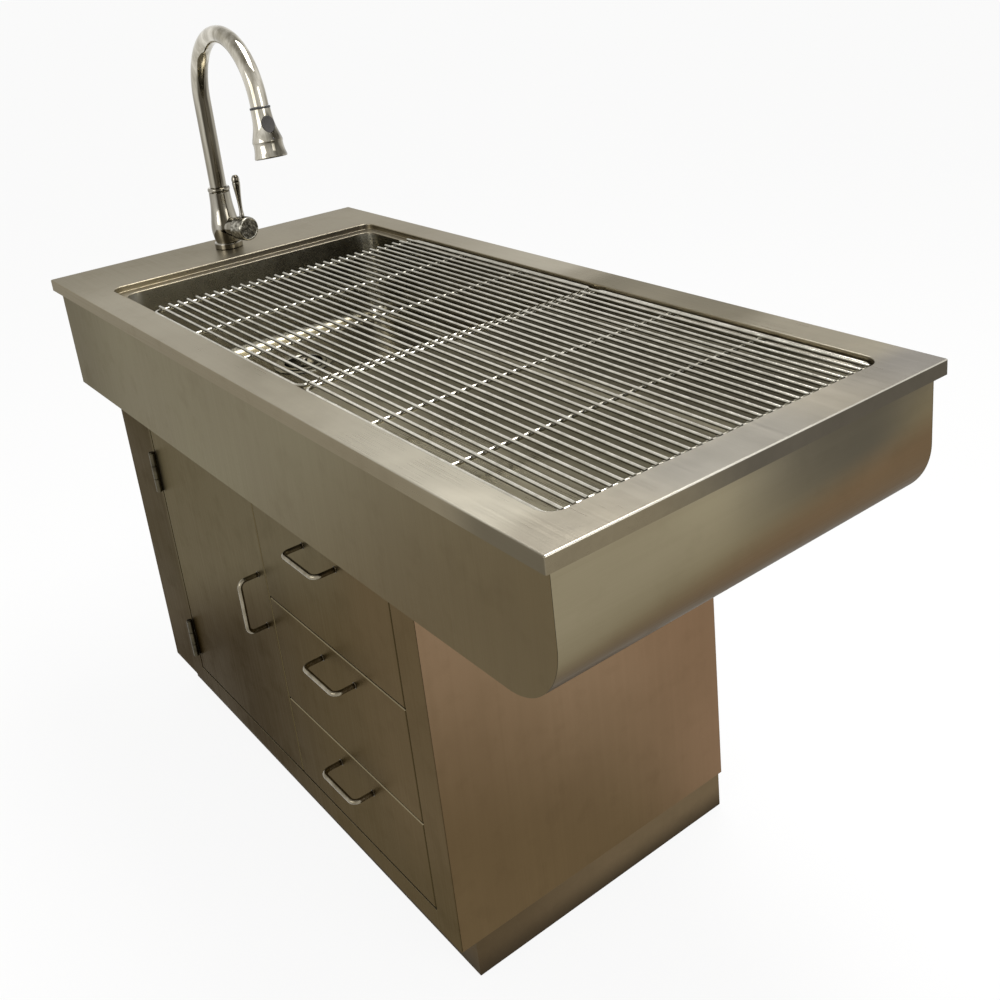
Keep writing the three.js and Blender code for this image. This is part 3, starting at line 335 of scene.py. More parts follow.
# Trough end and belly: a painted shadow under the deck's lip towards the back, and painted
# shade that darkens them lower down and on the belly's underside.
end_steel = brushed_steel(
    "trough_end_steel", "958c73", "827860", "y", 0.38,
    areas=[
        ([(BACK, -0.1, 0.12), (UP, 0.76, 0.82)], "70695a", "5f594b"),
        ([((0, 0.18, -1), -0.87, -0.76)], "7c7157", "6e634b"),
        ([(BACK, -0.1, 0.17), (UP, 0.735, 0.835), (FRONT, -0.32, -0.18)], "5e584b", "4f4a3e"),
        ([((0, 0.12, -1), -0.81, -0.755)], "735f47", "625039"),
        ([(DOWN, -0.765, -0.705)], "4f4230", "413525"),
    ],
)
# Sink: painted highlights, light bands down the back-left and front-left corners of the bowl.
sink_steel = brushed_steel(
    "sink_satin_steel", "9b9686", "7e7969", "x", 0.27,
    areas=[
        ([((-1, 1, 0), 0.772, 0.79)], "e2dfd4", "c2beb0"),
        ([((-1, -1, 0), 0.772, 0.79)], "e2dfd4", "c2beb0"),
    ],
)
# Tray: painted light on the strip by the front edge and along the crease, painted shade on
# the back half, lighter again near the back edge, and a painted highlight on the faces that
# turn to the sink.
tray_steel = brushed_steel(
    "tray_satin_steel", "7b7663", "676250", "x", 0.3,
    areas=[
        ([(FRONT, 0.13, 0.235)], "b3ac96", "9b947e"),
        ([(BACK, 0.035, 0.06)], "625d4e", "4f4b3e"),
        ([(BACK, 0.006, 0.016), (FRONT, -0.048, -0.028)], "9b9581", "827d6b"),
        ([(BACK, 0.17, 0.235)], "8b8573", "746f5f"),
    ],
    sides=[(LEFT, 0.2, 0.5, "dedacb", "bdb8a7")],
)
# Cabinet front: painted shade darker to the left, in a strip along the left edge and lowest
# at the lower left, a painted reflection of the floor below a slanting line, and another
# painted reflection tone to the right. On the sides: a painted highlight on faces that turn
# tone on the faces that turn back.
# up, painted shade on the rounded front corners, darker still to the right, and another
front_steel = brushed_steel(
    "cabinet_front_steel", "6c644f", "5c5440", "z", 0.42,
    areas=[
        ([(LEFT, 0.0, 0.5)], "675f48", "58503a"),
        ([(LEFT, 0.525, 0.545)], "423923", "352c1a"),
        ([((0.5, 0, -1), -0.60, -0.42)], "594c33", "4b3f29"),
        ([((0.5, 0, -1), -0.60, -0.42), (LEFT, -0.15, 0.3)], "312511", "271d0b"),
        ([(RIGHT, 0.1, 0.28), (UP, 0.1, 0.3)], "675840", "584a34"),
    ],
    sides=[
        (UP, 0.25, 0.5, "91866d", "786e56"),
        ((0.7, -0.7, 0), 0.86, 0.97, "675c43", "554b35"),
        ((0.7, -0.7, 0), 0.86, 0.97, "463c26", "392f1c", (RIGHT, 0.25, 0.27)),
        (BACK, 0.5, 0.9, "767062", "645f52"),
    ],
    edge=(0.63, 0.59, 0.53),
)
# Cabinet sides: a painted reflection darker low down towards the front, a darker band
# towards the back and top, and painted shade on the faces that turn back and inwards.
side_steel = brushed_steel(
    "cabinet_side_steel", "927960", "7d674e", "z", 0.42,
    areas=[
        ([((0, -0.6, -1), -0.52, -0.08)], "6b593e", "5a4932"),
        ([((0, 1, 0.3), 0.08, 0.36)], "8a6f56", "786048"),
    ],
    sides=[
        (BACK, 0.5, 0.9, "80735f", "6d614e"),
        (RIGHT, 0.5, 0.9, "7a7466", "67614f", (LEFT, 0.5, 0.55)),
        (LEFT, 0.5, 0.9, "7a7466", "67614f", (RIGHT, 0.2, 0.25)),
    ],
)
back_steel = brushed_steel("cabinet_back_steel", "807560", "6d634f", "z", 0.42)
inner_steel = brushed_steel("cabinet_inner_steel", "7d7667", "6b6557", "y", 0.42)
# Plinth: painted shade, darker on its front and darkest towards the floor.
plinth_steel = brushed_steel(
    "plinth_steel", "75644c", "62543e", "x", 0.44,
    areas=[
        ([(FRONT, -0.1, 0.25)], "5a4c37", "483b2b"),
        ([(DOWN, -0.045, 0.01)], "41372a", "2c251b"),
    ],
)
# Wire: painted shade darker to the left, and painted shade on each rod's flanks that leaves
# a narrow painted highlight along its top.
wire_steel = polished(
    "bright_wire_steel", "eae6d9", "cec9bb", 0.16, 0.06,
    areas=[([(LEFT, -0.25, 0.15)], "c6c2b5", "aaa699")],
    sides=[(DOWN, -0.82, -0.35, "908c7f", "777367")],
)
# Handles: painted shade at the feet, darker where they meet the panel.
handle_steel = polished(
    "handle_steel", "968e7c", "746c5a", 0.2, 0.06,
    areas=[([(BACK, -0.2785, -0.2725)], "40382b", "2d2619")],
)
# Tap chrome: painted reflections. The post is lighter low down, its sides carry dark and
# faces that turn to the back right carry a light streak.
# light streaks, the arch over the sink is darker underneath and on its right side, and
chrome = polished(
    "tap_chrome_plate", "d8d3c6", "989282", 0.07, 0.03, (62, 62, 5),
    areas=[([(DOWN, -1.04, -1.0)], "dedad0", "a29d91")],
    sides=[
        ((-0.77, -0.64, 0), -0.2, 0.75, "8d8778", "575142", AT_POST, (DOWN, -1.3, -1.15)),
        ((0.77, 0.64, 0), 0.0, 0.2, "5c5649", "29251c", AT_POST, (DOWN, -1.3, -1.2)),
        ((0.77, 0.64, 0), 0.5, 0.7, "a8a396", "5d5749", AT_POST, (DOWN, -1.04, -1.0)),
        ((0.6, -0.1, -0.8), 0.3, 0.75, "8a8578", "484235", OVER_SINK, UNDER_ARCH),
        ((0.77, 0.64, 0), 0.3, 0.7, "7d796e", "3e3a30", OVER_SINK, UNDER_ARCH),
        ((0.77, 0.64, 0), 0.9, 0.98, "b4afa2", "857f70"),
    ],
)
# Mixer hub: busy streaks of a light and a very dark tone, painted reflections.
hub_chrome = polished("hub_chrome_plate", "b9b5a8", "4d493e", 0.2, 0.08, even(150))
zinc = polished("zinc_plated_steel", "8f8e88", "74736c", 0.38, 0.1)
# Hinges: zinc-plated steel darkened as painted shade for the gap beside the door.
hinge_zinc_shaded = polished("hinge_zinc_painted_shade", "56503f", "3b362b", 0.34, 0.08)
grey_plastic = moulded("grey_plastic", "66635f", "565350", 0.45)
button_plastic = moulded("button_plastic", "34312e", "2a2725", 0.5)
dark_plastic = moulded("dark_plastic", "2f2d2b", "242220", 0.5)


# Floor, world and lights
def set_stage():
    bpy.ops.object.select_all(action="DESELECT")
    bpy.ops.mesh.primitive_plane_add(size=120, location=(0, 0, -0.0005))
    floor = bpy.context.object
    floor.name = "studio_floor"
    finish = Finish("pale_floor", 0.0)
    finish.set("Base Color", (0.8, 0.8, 0.79))
    finish.set("Roughness", 0.8)
    path = finish.node("ShaderNodeLightPath")
    rays = ("Is Camera Ray", "Is Glossy Ray", "Is Transmission Ray")
    seen = finish.ranged(finish.sum(*(path.outputs[ray] for ray in rays)), 0, 1, 0, 0.9)
    glow = finish.node("ShaderNodeEmission")
    glow.inputs["Strength"].default_value = 1.0
    blend = finish.node("ShaderNodeMixShader")
    output = finish.tree.nodes["Material Output"]
    finish.link(seen, blend.inputs["Fac"])
    finish.link(finish.shader.outputs["BSDF"], blend.inputs[1])
    finish.link(glow.outputs["Emission"], blend.inputs[2])
    finish.link(blend.outputs["Shader"], output.inputs["Surface"])
    floor.data.materials.append(finish.material)


def set_world():
    """White from the sides, and grey overhead for the metal to reflect."""
    world = bpy.data.worlds.new("studio_world")
    bpy.context.scene.world = world
    world.use_nodes = True
    tree = world.node_tree
    coords = tree.nodes.new("ShaderNodeTexCoord")
    parts = tree.nodes.new("ShaderNodeSeparateXYZ")
    height = tree.nodes.new("ShaderNodeMapRange")
    height.interpolation_type = "SMOOTHSTEP"
    height.inputs["From Min"].default_value = 0.36
    height.inputs["From Max"].default_value = 0.95
    blend = tree.nodes.new("ShaderNodeMix")
    blend.data_type = "RGBA"
    blend.inputs["A"].default_value = (1, 1, 1, 1)
    blend.inputs["B"].default_value = (0.42, 0.41, 0.39, 1)
    background = tree.nodes["Background"]
    tree.links.new(coords.outputs["Generated"], parts.inputs["Vector"])
    tree.links.new(parts.outputs["Z"], height.inputs["Value"])
    tree.links.new(height.outputs["Result"], blend.inputs["Factor"])
    tree.links.new(blend.outputs["Result"], background.inputs["Color"])
    background.inputs["Strength"].default_value = 1.0


def soft_light(name, place, target, size, power):
    data = bpy.data.lights.new(name, "AREA")
    data.shape = "RECTANGLE"
    data.size, data.size_y = size
    data.energy = power
    lamp = bpy.data.objects.new(name, data)
    bpy.context.scene.collection.objects.link(lamp)
    lamp.location = place
    lamp.rotation_mode = "QUATERNION"
    lamp.rotation_quaternion = (Vector(target) - Vector(place)).to_track_quat("-Z", "Y")


set_stage()
set_world()
soft_light("overhead_softbox", (0.1, 0.68, 3.1), (0, 0, 0.8), (1.8, 1.2), 76)
soft_light("front_softbox", (0.6, -3.6, 1.9), (0, 0, 0.6), (2.4, 1.8), 34)
soft_light("end_softbox", (3.8, 0.8, 2.0), (0, 0, 0.7), (1.6, 2.0), 34)


# Working with one piece
def alone(piece):
    bpy.ops.object.select_all(action="DESELECT")
    piece.select_set(True)
    bpy.context.view_layer.objects.active = piece


def open_mesh(piece):
    alone(piece)
    bpy.ops.object.mode_set(mode="EDIT")


def close_mesh():
    bpy.ops.object.mode_set(mode="OBJECT")


def select_all():
    bpy.ops.mesh.select_all(action="SELECT")


def apply_place(piece):
    alone(piece)
    bpy.ops.object.transform_apply(location=True, rotation=True, scale=True)


def pick(kind, test, only_open=False):
    """Selects the vertices, edges or faces of the open mesh that pass a test on their
    middle, in millimetres, and on their direction. Of the edges it can take those at open
    rims only."""
    bpy.ops.mesh.select_mode(type=kind)
    bpy.ops.mesh.select_all(action="DESELECT")
    mesh = bmesh.from_edit_mesh(bpy.context.object.data)
    if kind == "VERT":
        items = [(v, v.co / MM, v.normal) for v in mesh.verts]
    elif kind == "EDGE":
        edges = [e for e in mesh.edges if not only_open or len(e.link_faces) < 2]
        ends = [(e, e.verts[0].co, e.verts[1].co) for e in edges]
        items = [(e, (a + b) / 2 / MM, (b - a).normalized()) for e, a, b in ends]
    else:
        items = [(f, f.calc_center_median() / MM, f.normal) for f in mesh.faces]
    for item, middle, way in items:
        if test(middle, way):
            item.select_set(True)
    mesh.select_flush_mode()
    bmesh.update_edit_mesh(bpy.context.object.data)


def drop_faces():
    """Deletes the selected faces and keeps their edges for what comes next."""
    bpy.ops.mesh.delete(type="ONLY_FACE")


def face_outwards():
    select_all()
    bpy.ops.mesh.normals_make_consistent(inside=False)


def merge_doubles():
    select_all()
    bpy.ops.mesh.remove_doubles(threshold=0.01 * MM)


def finish_open():
    """Merges double places, turns all faces outwards and closes the mesh."""
    merge_doubles()
    face_outwards()
    close_mesh()


def finish_capped():
    """The same, with a face over every open ring."""
    bpy.ops.mesh.select_mode(type="EDGE")
    bpy.ops.mesh.select_all(action="DESELECT")
    bpy.ops.mesh.select_non_manifold()
    bpy.ops.mesh.fill_holes(sides=0)
    finish_open()


def shift(*by):
    bpy.ops.transform.translate(value=mm(*by))


def widen(at, factor):
    """Resizes what is selected about a place."""
    bpy.ops.transform.resize(value=(factor,) * 3, center_override=at)


def push_out(*by):
    bpy.ops.mesh.extrude_region_move(TRANSFORM_OT_translate={"value": mm(*by)})


def cube(name, low, high):
    """A cube added between two corners, open in edit mode."""
    low, high = mm(*low), mm(*high)
    bpy.ops.mesh.primitive_cube_add(size=1, location=(low + high) / 2)
    piece = bpy.context.object
    piece.name = name
    piece.scale = high - low
    apply_place(piece)
    open_mesh(piece)
    return piece


def upright(name, axis, low, high, radius, sides):
    """An upright cylinder for cutting or as the start of a piece, with its first corner at
    the front. Its axis is given by x and y."""
    bpy.ops.mesh.primitive_cylinder_add(
        vertices=sides, radius=radius * MM, depth=(high - low) * MM,
        location=mm(axis[0], axis[1], (low + high) / 2), rotation=(0, 0, math.pi),
    )
    piece = bpy.context.object
    piece.name = name
    apply_place(piece)
    return piece


def modify(piece, kind, **settings):
    """Adds a modifier, sets it and applies it."""
    alone(piece)
    modifier = piece.modifiers.new(kind.lower(), kind)
    for key, value in settings.items():
        setattr(modifier, key, value)
    bpy.ops.object.modifier_apply(modifier=modifier.name)


def softened(piece, width, angle=40):
    """Rounds the edges that are sharper than an angle."""
    modify(
        piece, "BEVEL", width=width * MM, segments=2, limit_method="ANGLE",
        angle_limit=math.radians(angle), use_clamp_overlap=True, harden_normals=False,
    )


def thickened(piece, side):
    """Gives a surface the sheet's thickness, on the side that its faces look to or, with
    -1, on the other."""
    modify(piece, "SOLIDIFY", thickness=SHEET * MM, offset=side, use_even_offset=True)


def carve(piece, tool, operation="DIFFERENCE"):
    """Cuts a closed tool out of a closed piece, or joins it to it, and removes the tool."""
    modify(piece, "BOOLEAN", operation=operation, object=tool, solver="EXACT")
    bpy.data.objects.remove(tool)


def copy_of(piece, name, *by):
    made = bpy.data.objects.new(name, piece.data.copy())
    bpy.context.scene.collection.objects.link(made)
    made.data.transform(Matrix.Translation(mm(*by)))
    return made


def join(name, *pieces):
    bpy.ops.object.select_all(action="DESELECT")
    for piece in pieces:
        piece.select_set(True)
    bpy.context.view_layer.objects.active = pieces[0]
    bpy.ops.object.join()
    pieces[0].name = name
    return pieces[0]


def settle(piece):
    """Puts the piece's place into its mesh and smooths its gentle edges, with flat faces
    kept flat."""
    apply_place(piece)
    bpy.ops.object.shade_smooth_by_angle(angle=math.radians(35))
    modify(piece, "WEIGHTED_NORMAL", keep_sharp=True)


def dress(piece, body, slot, material, *nodes):
    settle(piece)
    piece.data.materials.clear()
    piece.data.materials.append(material)
    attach(piece, body)
    if nodes:
        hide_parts(*nodes)


# Places and sizes that several pieces share, in millimetres
SHEET = 1.5
DECK_TOP = 900
DECK_UNDERSIDE = 898.2
LEDGE_TOP = 889
LEDGE_UNDERSIDE = 887.2
BASIN_SIDE = 257
SINK_LEFT = -550
TRAY_LEFT = 60
TRAY_RIGHT = 676
TRAY_NOSE = 64.7
DRAIN = Vector((-406, 0, 713))
TAP = Vector((-665, 3, 900.3))
LEVELS = ("lower", "middle", "upper")


# Sheet pieces that keep their solid's shape: a copy with rounded folds
FOLD_OUTSIDE = 2.4
FOLD_INSIDE = 0.9


def merged_copy(node):
    """A copy of a solid's mesh with its loose triangles merged into faces, left open."""
    piece = bpy.data.objects.new(node + "_sheet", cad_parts[node].data.copy())
    bpy.context.scene.collection.objects.link(piece)
    open_mesh(piece)
    merge_doubles()
    bpy.ops.mesh.dissolve_limited(angle_limit=math.radians(1))
    bpy.ops.mesh.customdata_custom_splitnormals_clear()
    return piece


def folded_copy(node, width):
    """A copy with all its folds and cut edges rounded to one small width."""
    piece = merged_copy(node)
    close_mesh()
    softened(piece, width)
    return piece


def folded_front(node, body):
    """A door or drawer front: a pan of folded sheet with round folds, wider outside than
    inside."""
    piece = merged_copy(node)
    mesh = bmesh.from_edit_mesh(piece.data)
    places = [v.co / MM for v in mesh.verts]
    low = [min(p[i] for p in places) for i in range(3)]
    high = [max(p[i] for p in places) for i in range(3)]
    for inset, radius, segments in ((0, FOLD_OUTSIDE, 4), (SHEET, FOLD_INSIDE, 2)):
        def on_fold(at, way, inset=inset):
            sides = sum(
                abs(at[i] - low[i] - inset) < 0.05 or abs(high[i] - inset - at[i]) < 0.05
                for i in range(3)
            )
            return sides >= 2
        pick("EDGE", on_fold)
        bpy.ops.mesh.bevel(offset=radius * MM, segments=segments)
    close_mesh()
    softened(piece, 0.3, 60)
    dress(piece, body, "cabinet_steel", front_steel, node)


def make_back():
    """The back panel, drawn down behind the floor panel's edge to shut the gap there."""
    back = folded_copy("cabinet_back", 0.5)
    open_mesh(back)
    pick("VERT", lambda at, way: at.z < 74)
    shift(0, 0, -SHEET)
    close_mesh()
    dress(back, "table", "cabinet_steel", back_steel, "cabinet_back")


# Pressed sheets are drawn from outlines: flat rectangles with round corners
def outline(x0, x1, y, z, radius, segments):
    """Adds a flat outline from -y to y to the open mesh and leaves its face selected."""
    middle = mm((x0 + x1) / 2, 0, z)
    bpy.ops.mesh.select_all(action="DESELECT")
    bpy.ops.mesh.primitive_plane_add(size=1, location=middle)
    bpy.ops.transform.resize(value=((x1 - x0) * MM, 2 * y * MM, 1), center_override=middle)
    bpy.ops.mesh.bevel(offset=radius * MM, segments=segments, affect="VERTICES")


def start_outline(name, *place):
    """A new piece, open in edit mode, that starts as one outline."""
    bpy.ops.mesh.primitive_plane_add(size=1)
    piece = bpy.context.object
    piece.name = name
    open_mesh(piece)
    select_all()
    bpy.ops.mesh.delete(type="VERT")
    outline(*place)
    return piece


def facing():
    """1 where the selected face looks up, -1 where it looks down."""
    mesh = bmesh.from_edit_mesh(bpy.context.object.data)
    return 1 if sum(f.normal.z for f in mesh.faces if f.select) > 0 else -1


def quarter_turn(steps):
    """How far a quarter turn goes at each step, first along its start and then across it,
    as shares of its radius."""
    for i in range(steps):
        first, second = math.radians(90 * i / steps), math.radians(90 * (i + 1) / steps)
        yield math.sin(second) - math.sin(first), math.cos(first) - math.cos(second)


# Rounded folds on the selected face's outline, step by step, up or down. Rolling over
# leaves the face's own plane, rolling in comes back to a flat face from an upright wall.
def roll_over(radius, way, steps=4):
    for start, across in quarter_turn(steps):
        depth = way * facing() * radius * across * MM
        bpy.ops.mesh.inset(thickness=radius * start * MM, depth=depth)


def roll_in(radius, way, steps=4):
    for start, across in quarter_turn(steps):
        depth = way * facing() * radius * start * MM
        bpy.ops.mesh.inset(thickness=radius * across * MM, depth=depth)


def join_outlines(z):
    """Fills the flat ring between the two outlines at one height."""
    pick("EDGE", lambda at, way: abs(at.z - z) < 0.05, only_open=True)
    bpy.ops.mesh.bridge_edge_loops()


# Deck: one sheet with a turned-down lip, an opening that steps down to a ledge, and a
# hole for the tap. Each outline is its left and right end and its half width.
DECK_OUTLINE = (-750, 750, 325)
OPENING = (-576.2, 692.2, 273.2)
LEDGE_OPENING = (-551.6, 677.6, 258.6)
LIP_FOOT = 879


def make_deck():
    deck = start_outline("deck_sheet", *DECK_OUTLINE, LIP_FOOT, 2.6, 4)
    push_out(0, 0, 18.6)
    pick("FACE", lambda middle, way: middle.z < 880)
    drop_faces()
    pick("FACE", lambda middle, way: middle.z > 897)
    roll_in(2.4, 1)
    drop_faces()
    outline(*OPENING, DECK_TOP, 24.2, 8)
    roll_over(2.2, -1)
    push_out(0, 0, -7.8)
    roll_in(1, -1, 3)
    drop_faces()
    outline(*LEDGE_OPENING, LEDGE_TOP, 25.6, 8)
    roll_over(1.6, -1)
    drop_faces()
    join_outlines(LEDGE_TOP)
    join_outlines(DECK_TOP)
    face_outwards()
    close_mesh()
    thickened(deck, -1)
    carve(deck, upright("tap_hole_tool", TAP, 870, 910, 17, 32))
    dress(deck, "table", "deck_steel", deck_steel, "deck_rim")


# Trough: two aprons with one large round lower corner, a belly bent up to the free end
TROUGH_HALF = 738
TROUGH_FOOT = 690
TROUGH_CORNER = 95
BELLY_SIDE = 311.2


def round_free_corner():
    """Rounds the lower corner at the trough's free end."""
    pick("EDGE", lambda at, way: abs(way.y) > 0.9 and at.x > 700 and at.z < 700)
    bpy.ops.mesh.bevel(offset=TROUGH_CORNER * MM, segments=32)
    close_mesh()


def make_apron(name, y, node):
    apron = cube(name, (-TROUGH_HALF, y, TROUGH_FOOT), (TROUGH_HALF, y + SHEET, DECK_UNDERSIDE))
    round_free_corner()
    softened(apron, 0.35, 50)
    dress(apron, "table", "deck_steel", apron_steel, node)


def make_belly():
    belly = cube(
        "trough_belly_sheet", (-TROUGH_HALF, -BELLY_SIDE, TROUGH_FOOT),
        (TROUGH_HALF, BELLY_SIDE, DECK_UNDERSIDE),
    )
    pick("FACE", lambda middle, way: abs(way.y) > 0.5 or way.z > 0.5 or way.x < -0.5)
    bpy.ops.mesh.delete(type="FACE")
    round_free_corner()
    thickened(belly, -1)
    opening = cube("service_slot_tool", (-693, -62, 680), (-344, 62, 700))
    close_mesh()
    carve(belly, opening)
    dress(belly, "table", "deck_steel", end_steel, "trough_belly")


# Sink: a round-cornered bowl whose floor falls to a dish round the drain
SINK_CORNER = 24
SINK_WALL = 151.2
SINK_FOLD = 17
SINK_FLOOR = 719
OPEN_END_TOP = 856.2
DISH_RADIUS = 60
DISH_HOLE_SHARE = 0.686


def make_sink():
    sink = start_outline(
        "sink_bowl_pressing", SINK_LEFT, TRAY_LEFT, BASIN_SIDE, LEDGE_UNDERSIDE, SINK_CORNER, 8,
    )
    push_out(0, 0, -SINK_WALL)
    pick("FACE", lambda middle, way: middle.z > 887)
    drop_faces()
    face_outwards()
    bpy.ops.mesh.bisect(plane_co=mm(0, 0, OPEN_END_TOP), plane_no=UP)
    pick("FACE", lambda middle, way: middle.z > 857 and way.x > 0.05)
    bpy.ops.mesh.delete(type="FACE")
    pick("EDGE", lambda at, way: abs(way.z) > 0.9 and at.z > 857 and at.x > 30)
    bpy.ops.mesh.extrude_edges_move(TRANSFORM_OT_translate={"value": mm(SINK_CORNER, 0, 0)})
    pick("FACE", lambda middle, way: middle.z < 737 and abs(way.z) > 0.9)
    roll_in(SINK_FOLD, -1, 6)
    drop_faces()
    bpy.ops.mesh.select_all(action="DESELECT")
    bpy.ops.mesh.primitive_circle_add(vertices=48, radius=DISH_RADIUS * MM, location=mm(*DRAIN))
    pick("EDGE", lambda at, way: at.z < DRAIN.z + 0.1 or (
        abs(at.z - SINK_FLOOR) < 0.05 and -533.5 < at.x < 43.5 and abs(at.y) < 240.5
    ))
    bpy.ops.mesh.bridge_edge_loops()
    pick("EDGE", lambda at, way: (
        at.z < DRAIN.z + 0.1 and abs((at - DRAIN).length - DISH_RADIUS) < 0.5
    ))
    bpy.ops.mesh.extrude_edges_move()
    share = DISH_HOLE_SHARE
    bpy.ops.transform.resize(value=(share, share, 1), center_override=mm(*DRAIN))
    face_outwards()
    close_mesh()
    thickened(sink, 1)
    dress(sink, "table", "sink_steel", sink_steel, "sink_bowl")


# Tray: a sheet creased along a shallow valley that falls to the sink, with a rolled nose
# and a hem that hangs into the sink
CREASE = 20
CREASE_DEPTH = 7
TRAY_FALL = 18
NOSE_SIDE = 233
NOSE_RADIUS = 8


def slope_tray():
    """Lets the open tray's floor fall to the crease and towards the sink."""
    mesh = bmesh.from_edit_mesh(bpy.context.object.data)
    for corner in mesh.verts:
        x, y, z = corner.co / MM
        if z < 886:
            if y < CREASE:
                share = (y + BASIN_SIDE) / (BASIN_SIDE + CREASE)
            else:
                share = (BASIN_SIDE - y) / (BASIN_SIDE - CREASE)
            rise = TRAY_FALL * (x - TRAY_LEFT) / (TRAY_RIGHT - TRAY_LEFT)
            corner.co.z += (rise - CREASE_DEPTH * share) * MM
    bmesh.update_edit_mesh(bpy.context.object.data)


def make_tray():
    tray = cube(
        "sloped_tray_sheet", (TRAY_LEFT, -BASIN_SIDE, 865),
        (TRAY_RIGHT, BASIN_SIDE, LEDGE_UNDERSIDE),
    )
    pick("FACE", lambda middle, way: way.z > 0.5 or way.x < -0.5)
    bpy.ops.mesh.delete(type="FACE")
    pick("EDGE", lambda at, way: abs(way.z) > 0.9 and at.x > 674)
    bpy.ops.mesh.bevel(offset=6 * MM, segments=4)
    pick("EDGE", lambda at, way: at.z < 865.1 and at.x > 60.1 and (abs(at.y) > 250 or at.x > 669))
    bpy.ops.mesh.bevel(offset=2.6 * MM, segments=3)
    for y in (-NOSE_SIDE, CREASE - 6, CREASE, CREASE + 6, NOSE_SIDE):
        select_all()
        bpy.ops.mesh.bisect(plane_co=mm(0, y, 0), plane_no=BACK)
    select_all()
    bpy.ops.mesh.bisect(plane_co=mm(TRAY_NOSE, 0, 0), plane_no=RIGHT)
    pick("FACE", lambda middle, way: middle.x < TRAY_NOSE and abs(middle.y) < NOSE_SIDE)
    bpy.ops.mesh.delete(type="FACE")
    slope_tray()
    pick("EDGE", lambda at, way: (
        abs(at.x - TRAY_NOSE) < 0.01 and abs(at.y) < NOSE_SIDE
    ), only_open=True)
    for start, across in quarter_turn(8):
        push_out(-NOSE_RADIUS * start, 0, -NOSE_RADIUS * across)
    push_out(0, 0, -15)
    bpy.ops.transform.resize(value=(1, 1, 0), center_override=mm(TRAY_NOSE - NOSE_RADIUS, 0, 835.2))
    face_outwards()
    close_mesh()
    thickened(tray, 1)
    dress(tray, "table", "deck_steel", tray_steel, "sloped_tray")


# Round wire and tube: a ring of points drawn out along straight runs and round bends
def ring_at(name, place, heading, radius, sides):
    """A ring, open in edit mode, with its place and its heading."""
    bpy.ops.mesh.primitive_circle_add(vertices=sides, radius=radius * MM)
    piece = bpy.context.object
    piece.name = name
    heading = Vector(heading).normalized()
    side = BACK if abs(heading.y) < 0.9 else RIGHT
    across = heading.cross(side).normalized()
    side = across.cross(heading).normalized()
    turn = Matrix((side, across, heading)).transposed().to_4x4()
    piece.matrix_world = Matrix.Translation(mm(*place)) @ turn
    apply_place(piece)
    open_mesh(piece)
    select_all()
    return piece, mm(*place), heading


def run(at, heading, length):
    """Draws the selected ring out along its heading."""
    by = heading * length * MM
    bpy.ops.mesh.extrude_region_move(TRANSFORM_OT_translate={"value": by})
    return at + by


def bend(at, heading, side, radius, degrees, steps):
    """Draws the selected ring round a bend towards the given side."""
    centre = at + side * radius * MM
    axis = heading.cross(side).normalized()
    bpy.ops.mesh.spin(steps=steps, angle=math.radians(degrees), center=centre, axis=-axis)
    turn = Matrix.Rotation(math.radians(degrees), 3, axis)
    return centre + turn @ (at - centre), (turn @ heading).normalized()


def stepped(at, heading, steps):
    """Short runs, each with a change of width at its end."""
    for length, factor in steps:
        at = run(at, heading, length)
        widen(at, factor)
    return at


# Wire grate: a bent frame rod, two cross rods, a comb of long rods and a weld at each
# crossing
GRATE_SIDE = 264
FRAME_ROD_HEIGHT = 892.3
FRAME_ROD_RADIUS = 3
FRAME_BEND = 14
LONG_ROD_HEIGHT = 897.2
LONG_ROD_RADIUS = 2.5
LONG_ROD_TIP = 1.9
LONG_RODS = 31
ROD_PITCH = 501 / 30
WELD_HEIGHT = 894.9


def make_grate_frame(name, x0, x1):
    loop, at, heading = ring_at(
        name, (x0 + FRAME_BEND, -GRATE_SIDE, FRAME_ROD_HEIGHT), RIGHT, FRAME_ROD_RADIUS, 12,
    )
    length, width = x1 - x0 - 2 * FRAME_BEND, 2 * (GRATE_SIDE - FRAME_BEND)
    for straight, side in ((length, BACK), (width, LEFT), (length, FRONT), (width, RIGHT)):
        at = run(at, heading, straight)
        at, heading = bend(at, heading, side, FRAME_BEND, 90, 6)
    finish_open()
    return loop


def make_cross_rod(x):
    rod, at, heading = ring_at(
        "cross_rod", (x, -GRATE_SIDE, FRAME_ROD_HEIGHT), BACK, FRAME_ROD_RADIUS, 12,
    )
    run(at, heading, 2 * GRATE_SIDE)
    finish_capped()
    return rod


def make_long_rod(x0, x1):
    rod, at, heading = ring_at("long_rod", (x0 - 5.4, 0, LONG_ROD_HEIGHT), RIGHT, LONG_ROD_TIP, 12)
    at = stepped(at, heading, [(0.6, LONG_ROD_RADIUS / LONG_ROD_TIP)])
    at = run(at, heading, x1 - x0 + 9.6)
    stepped(at, heading, [(0.6, LONG_ROD_TIP / LONG_ROD_RADIUS)])
    finish_capped()
    return rod


def make_weld():
    middle = mm(0, 0, WELD_HEIGHT)
    bpy.ops.mesh.primitive_uv_sphere_add(segments=10, ring_count=6, radius=3 * MM, location=middle)
    bead = bpy.context.object
    apply_place(bead)
    open_mesh(bead)
    select_all()
    bpy.ops.transform.resize(value=(1.05, 1.0, 0.42), center_override=middle)
    close_mesh()
    return bead


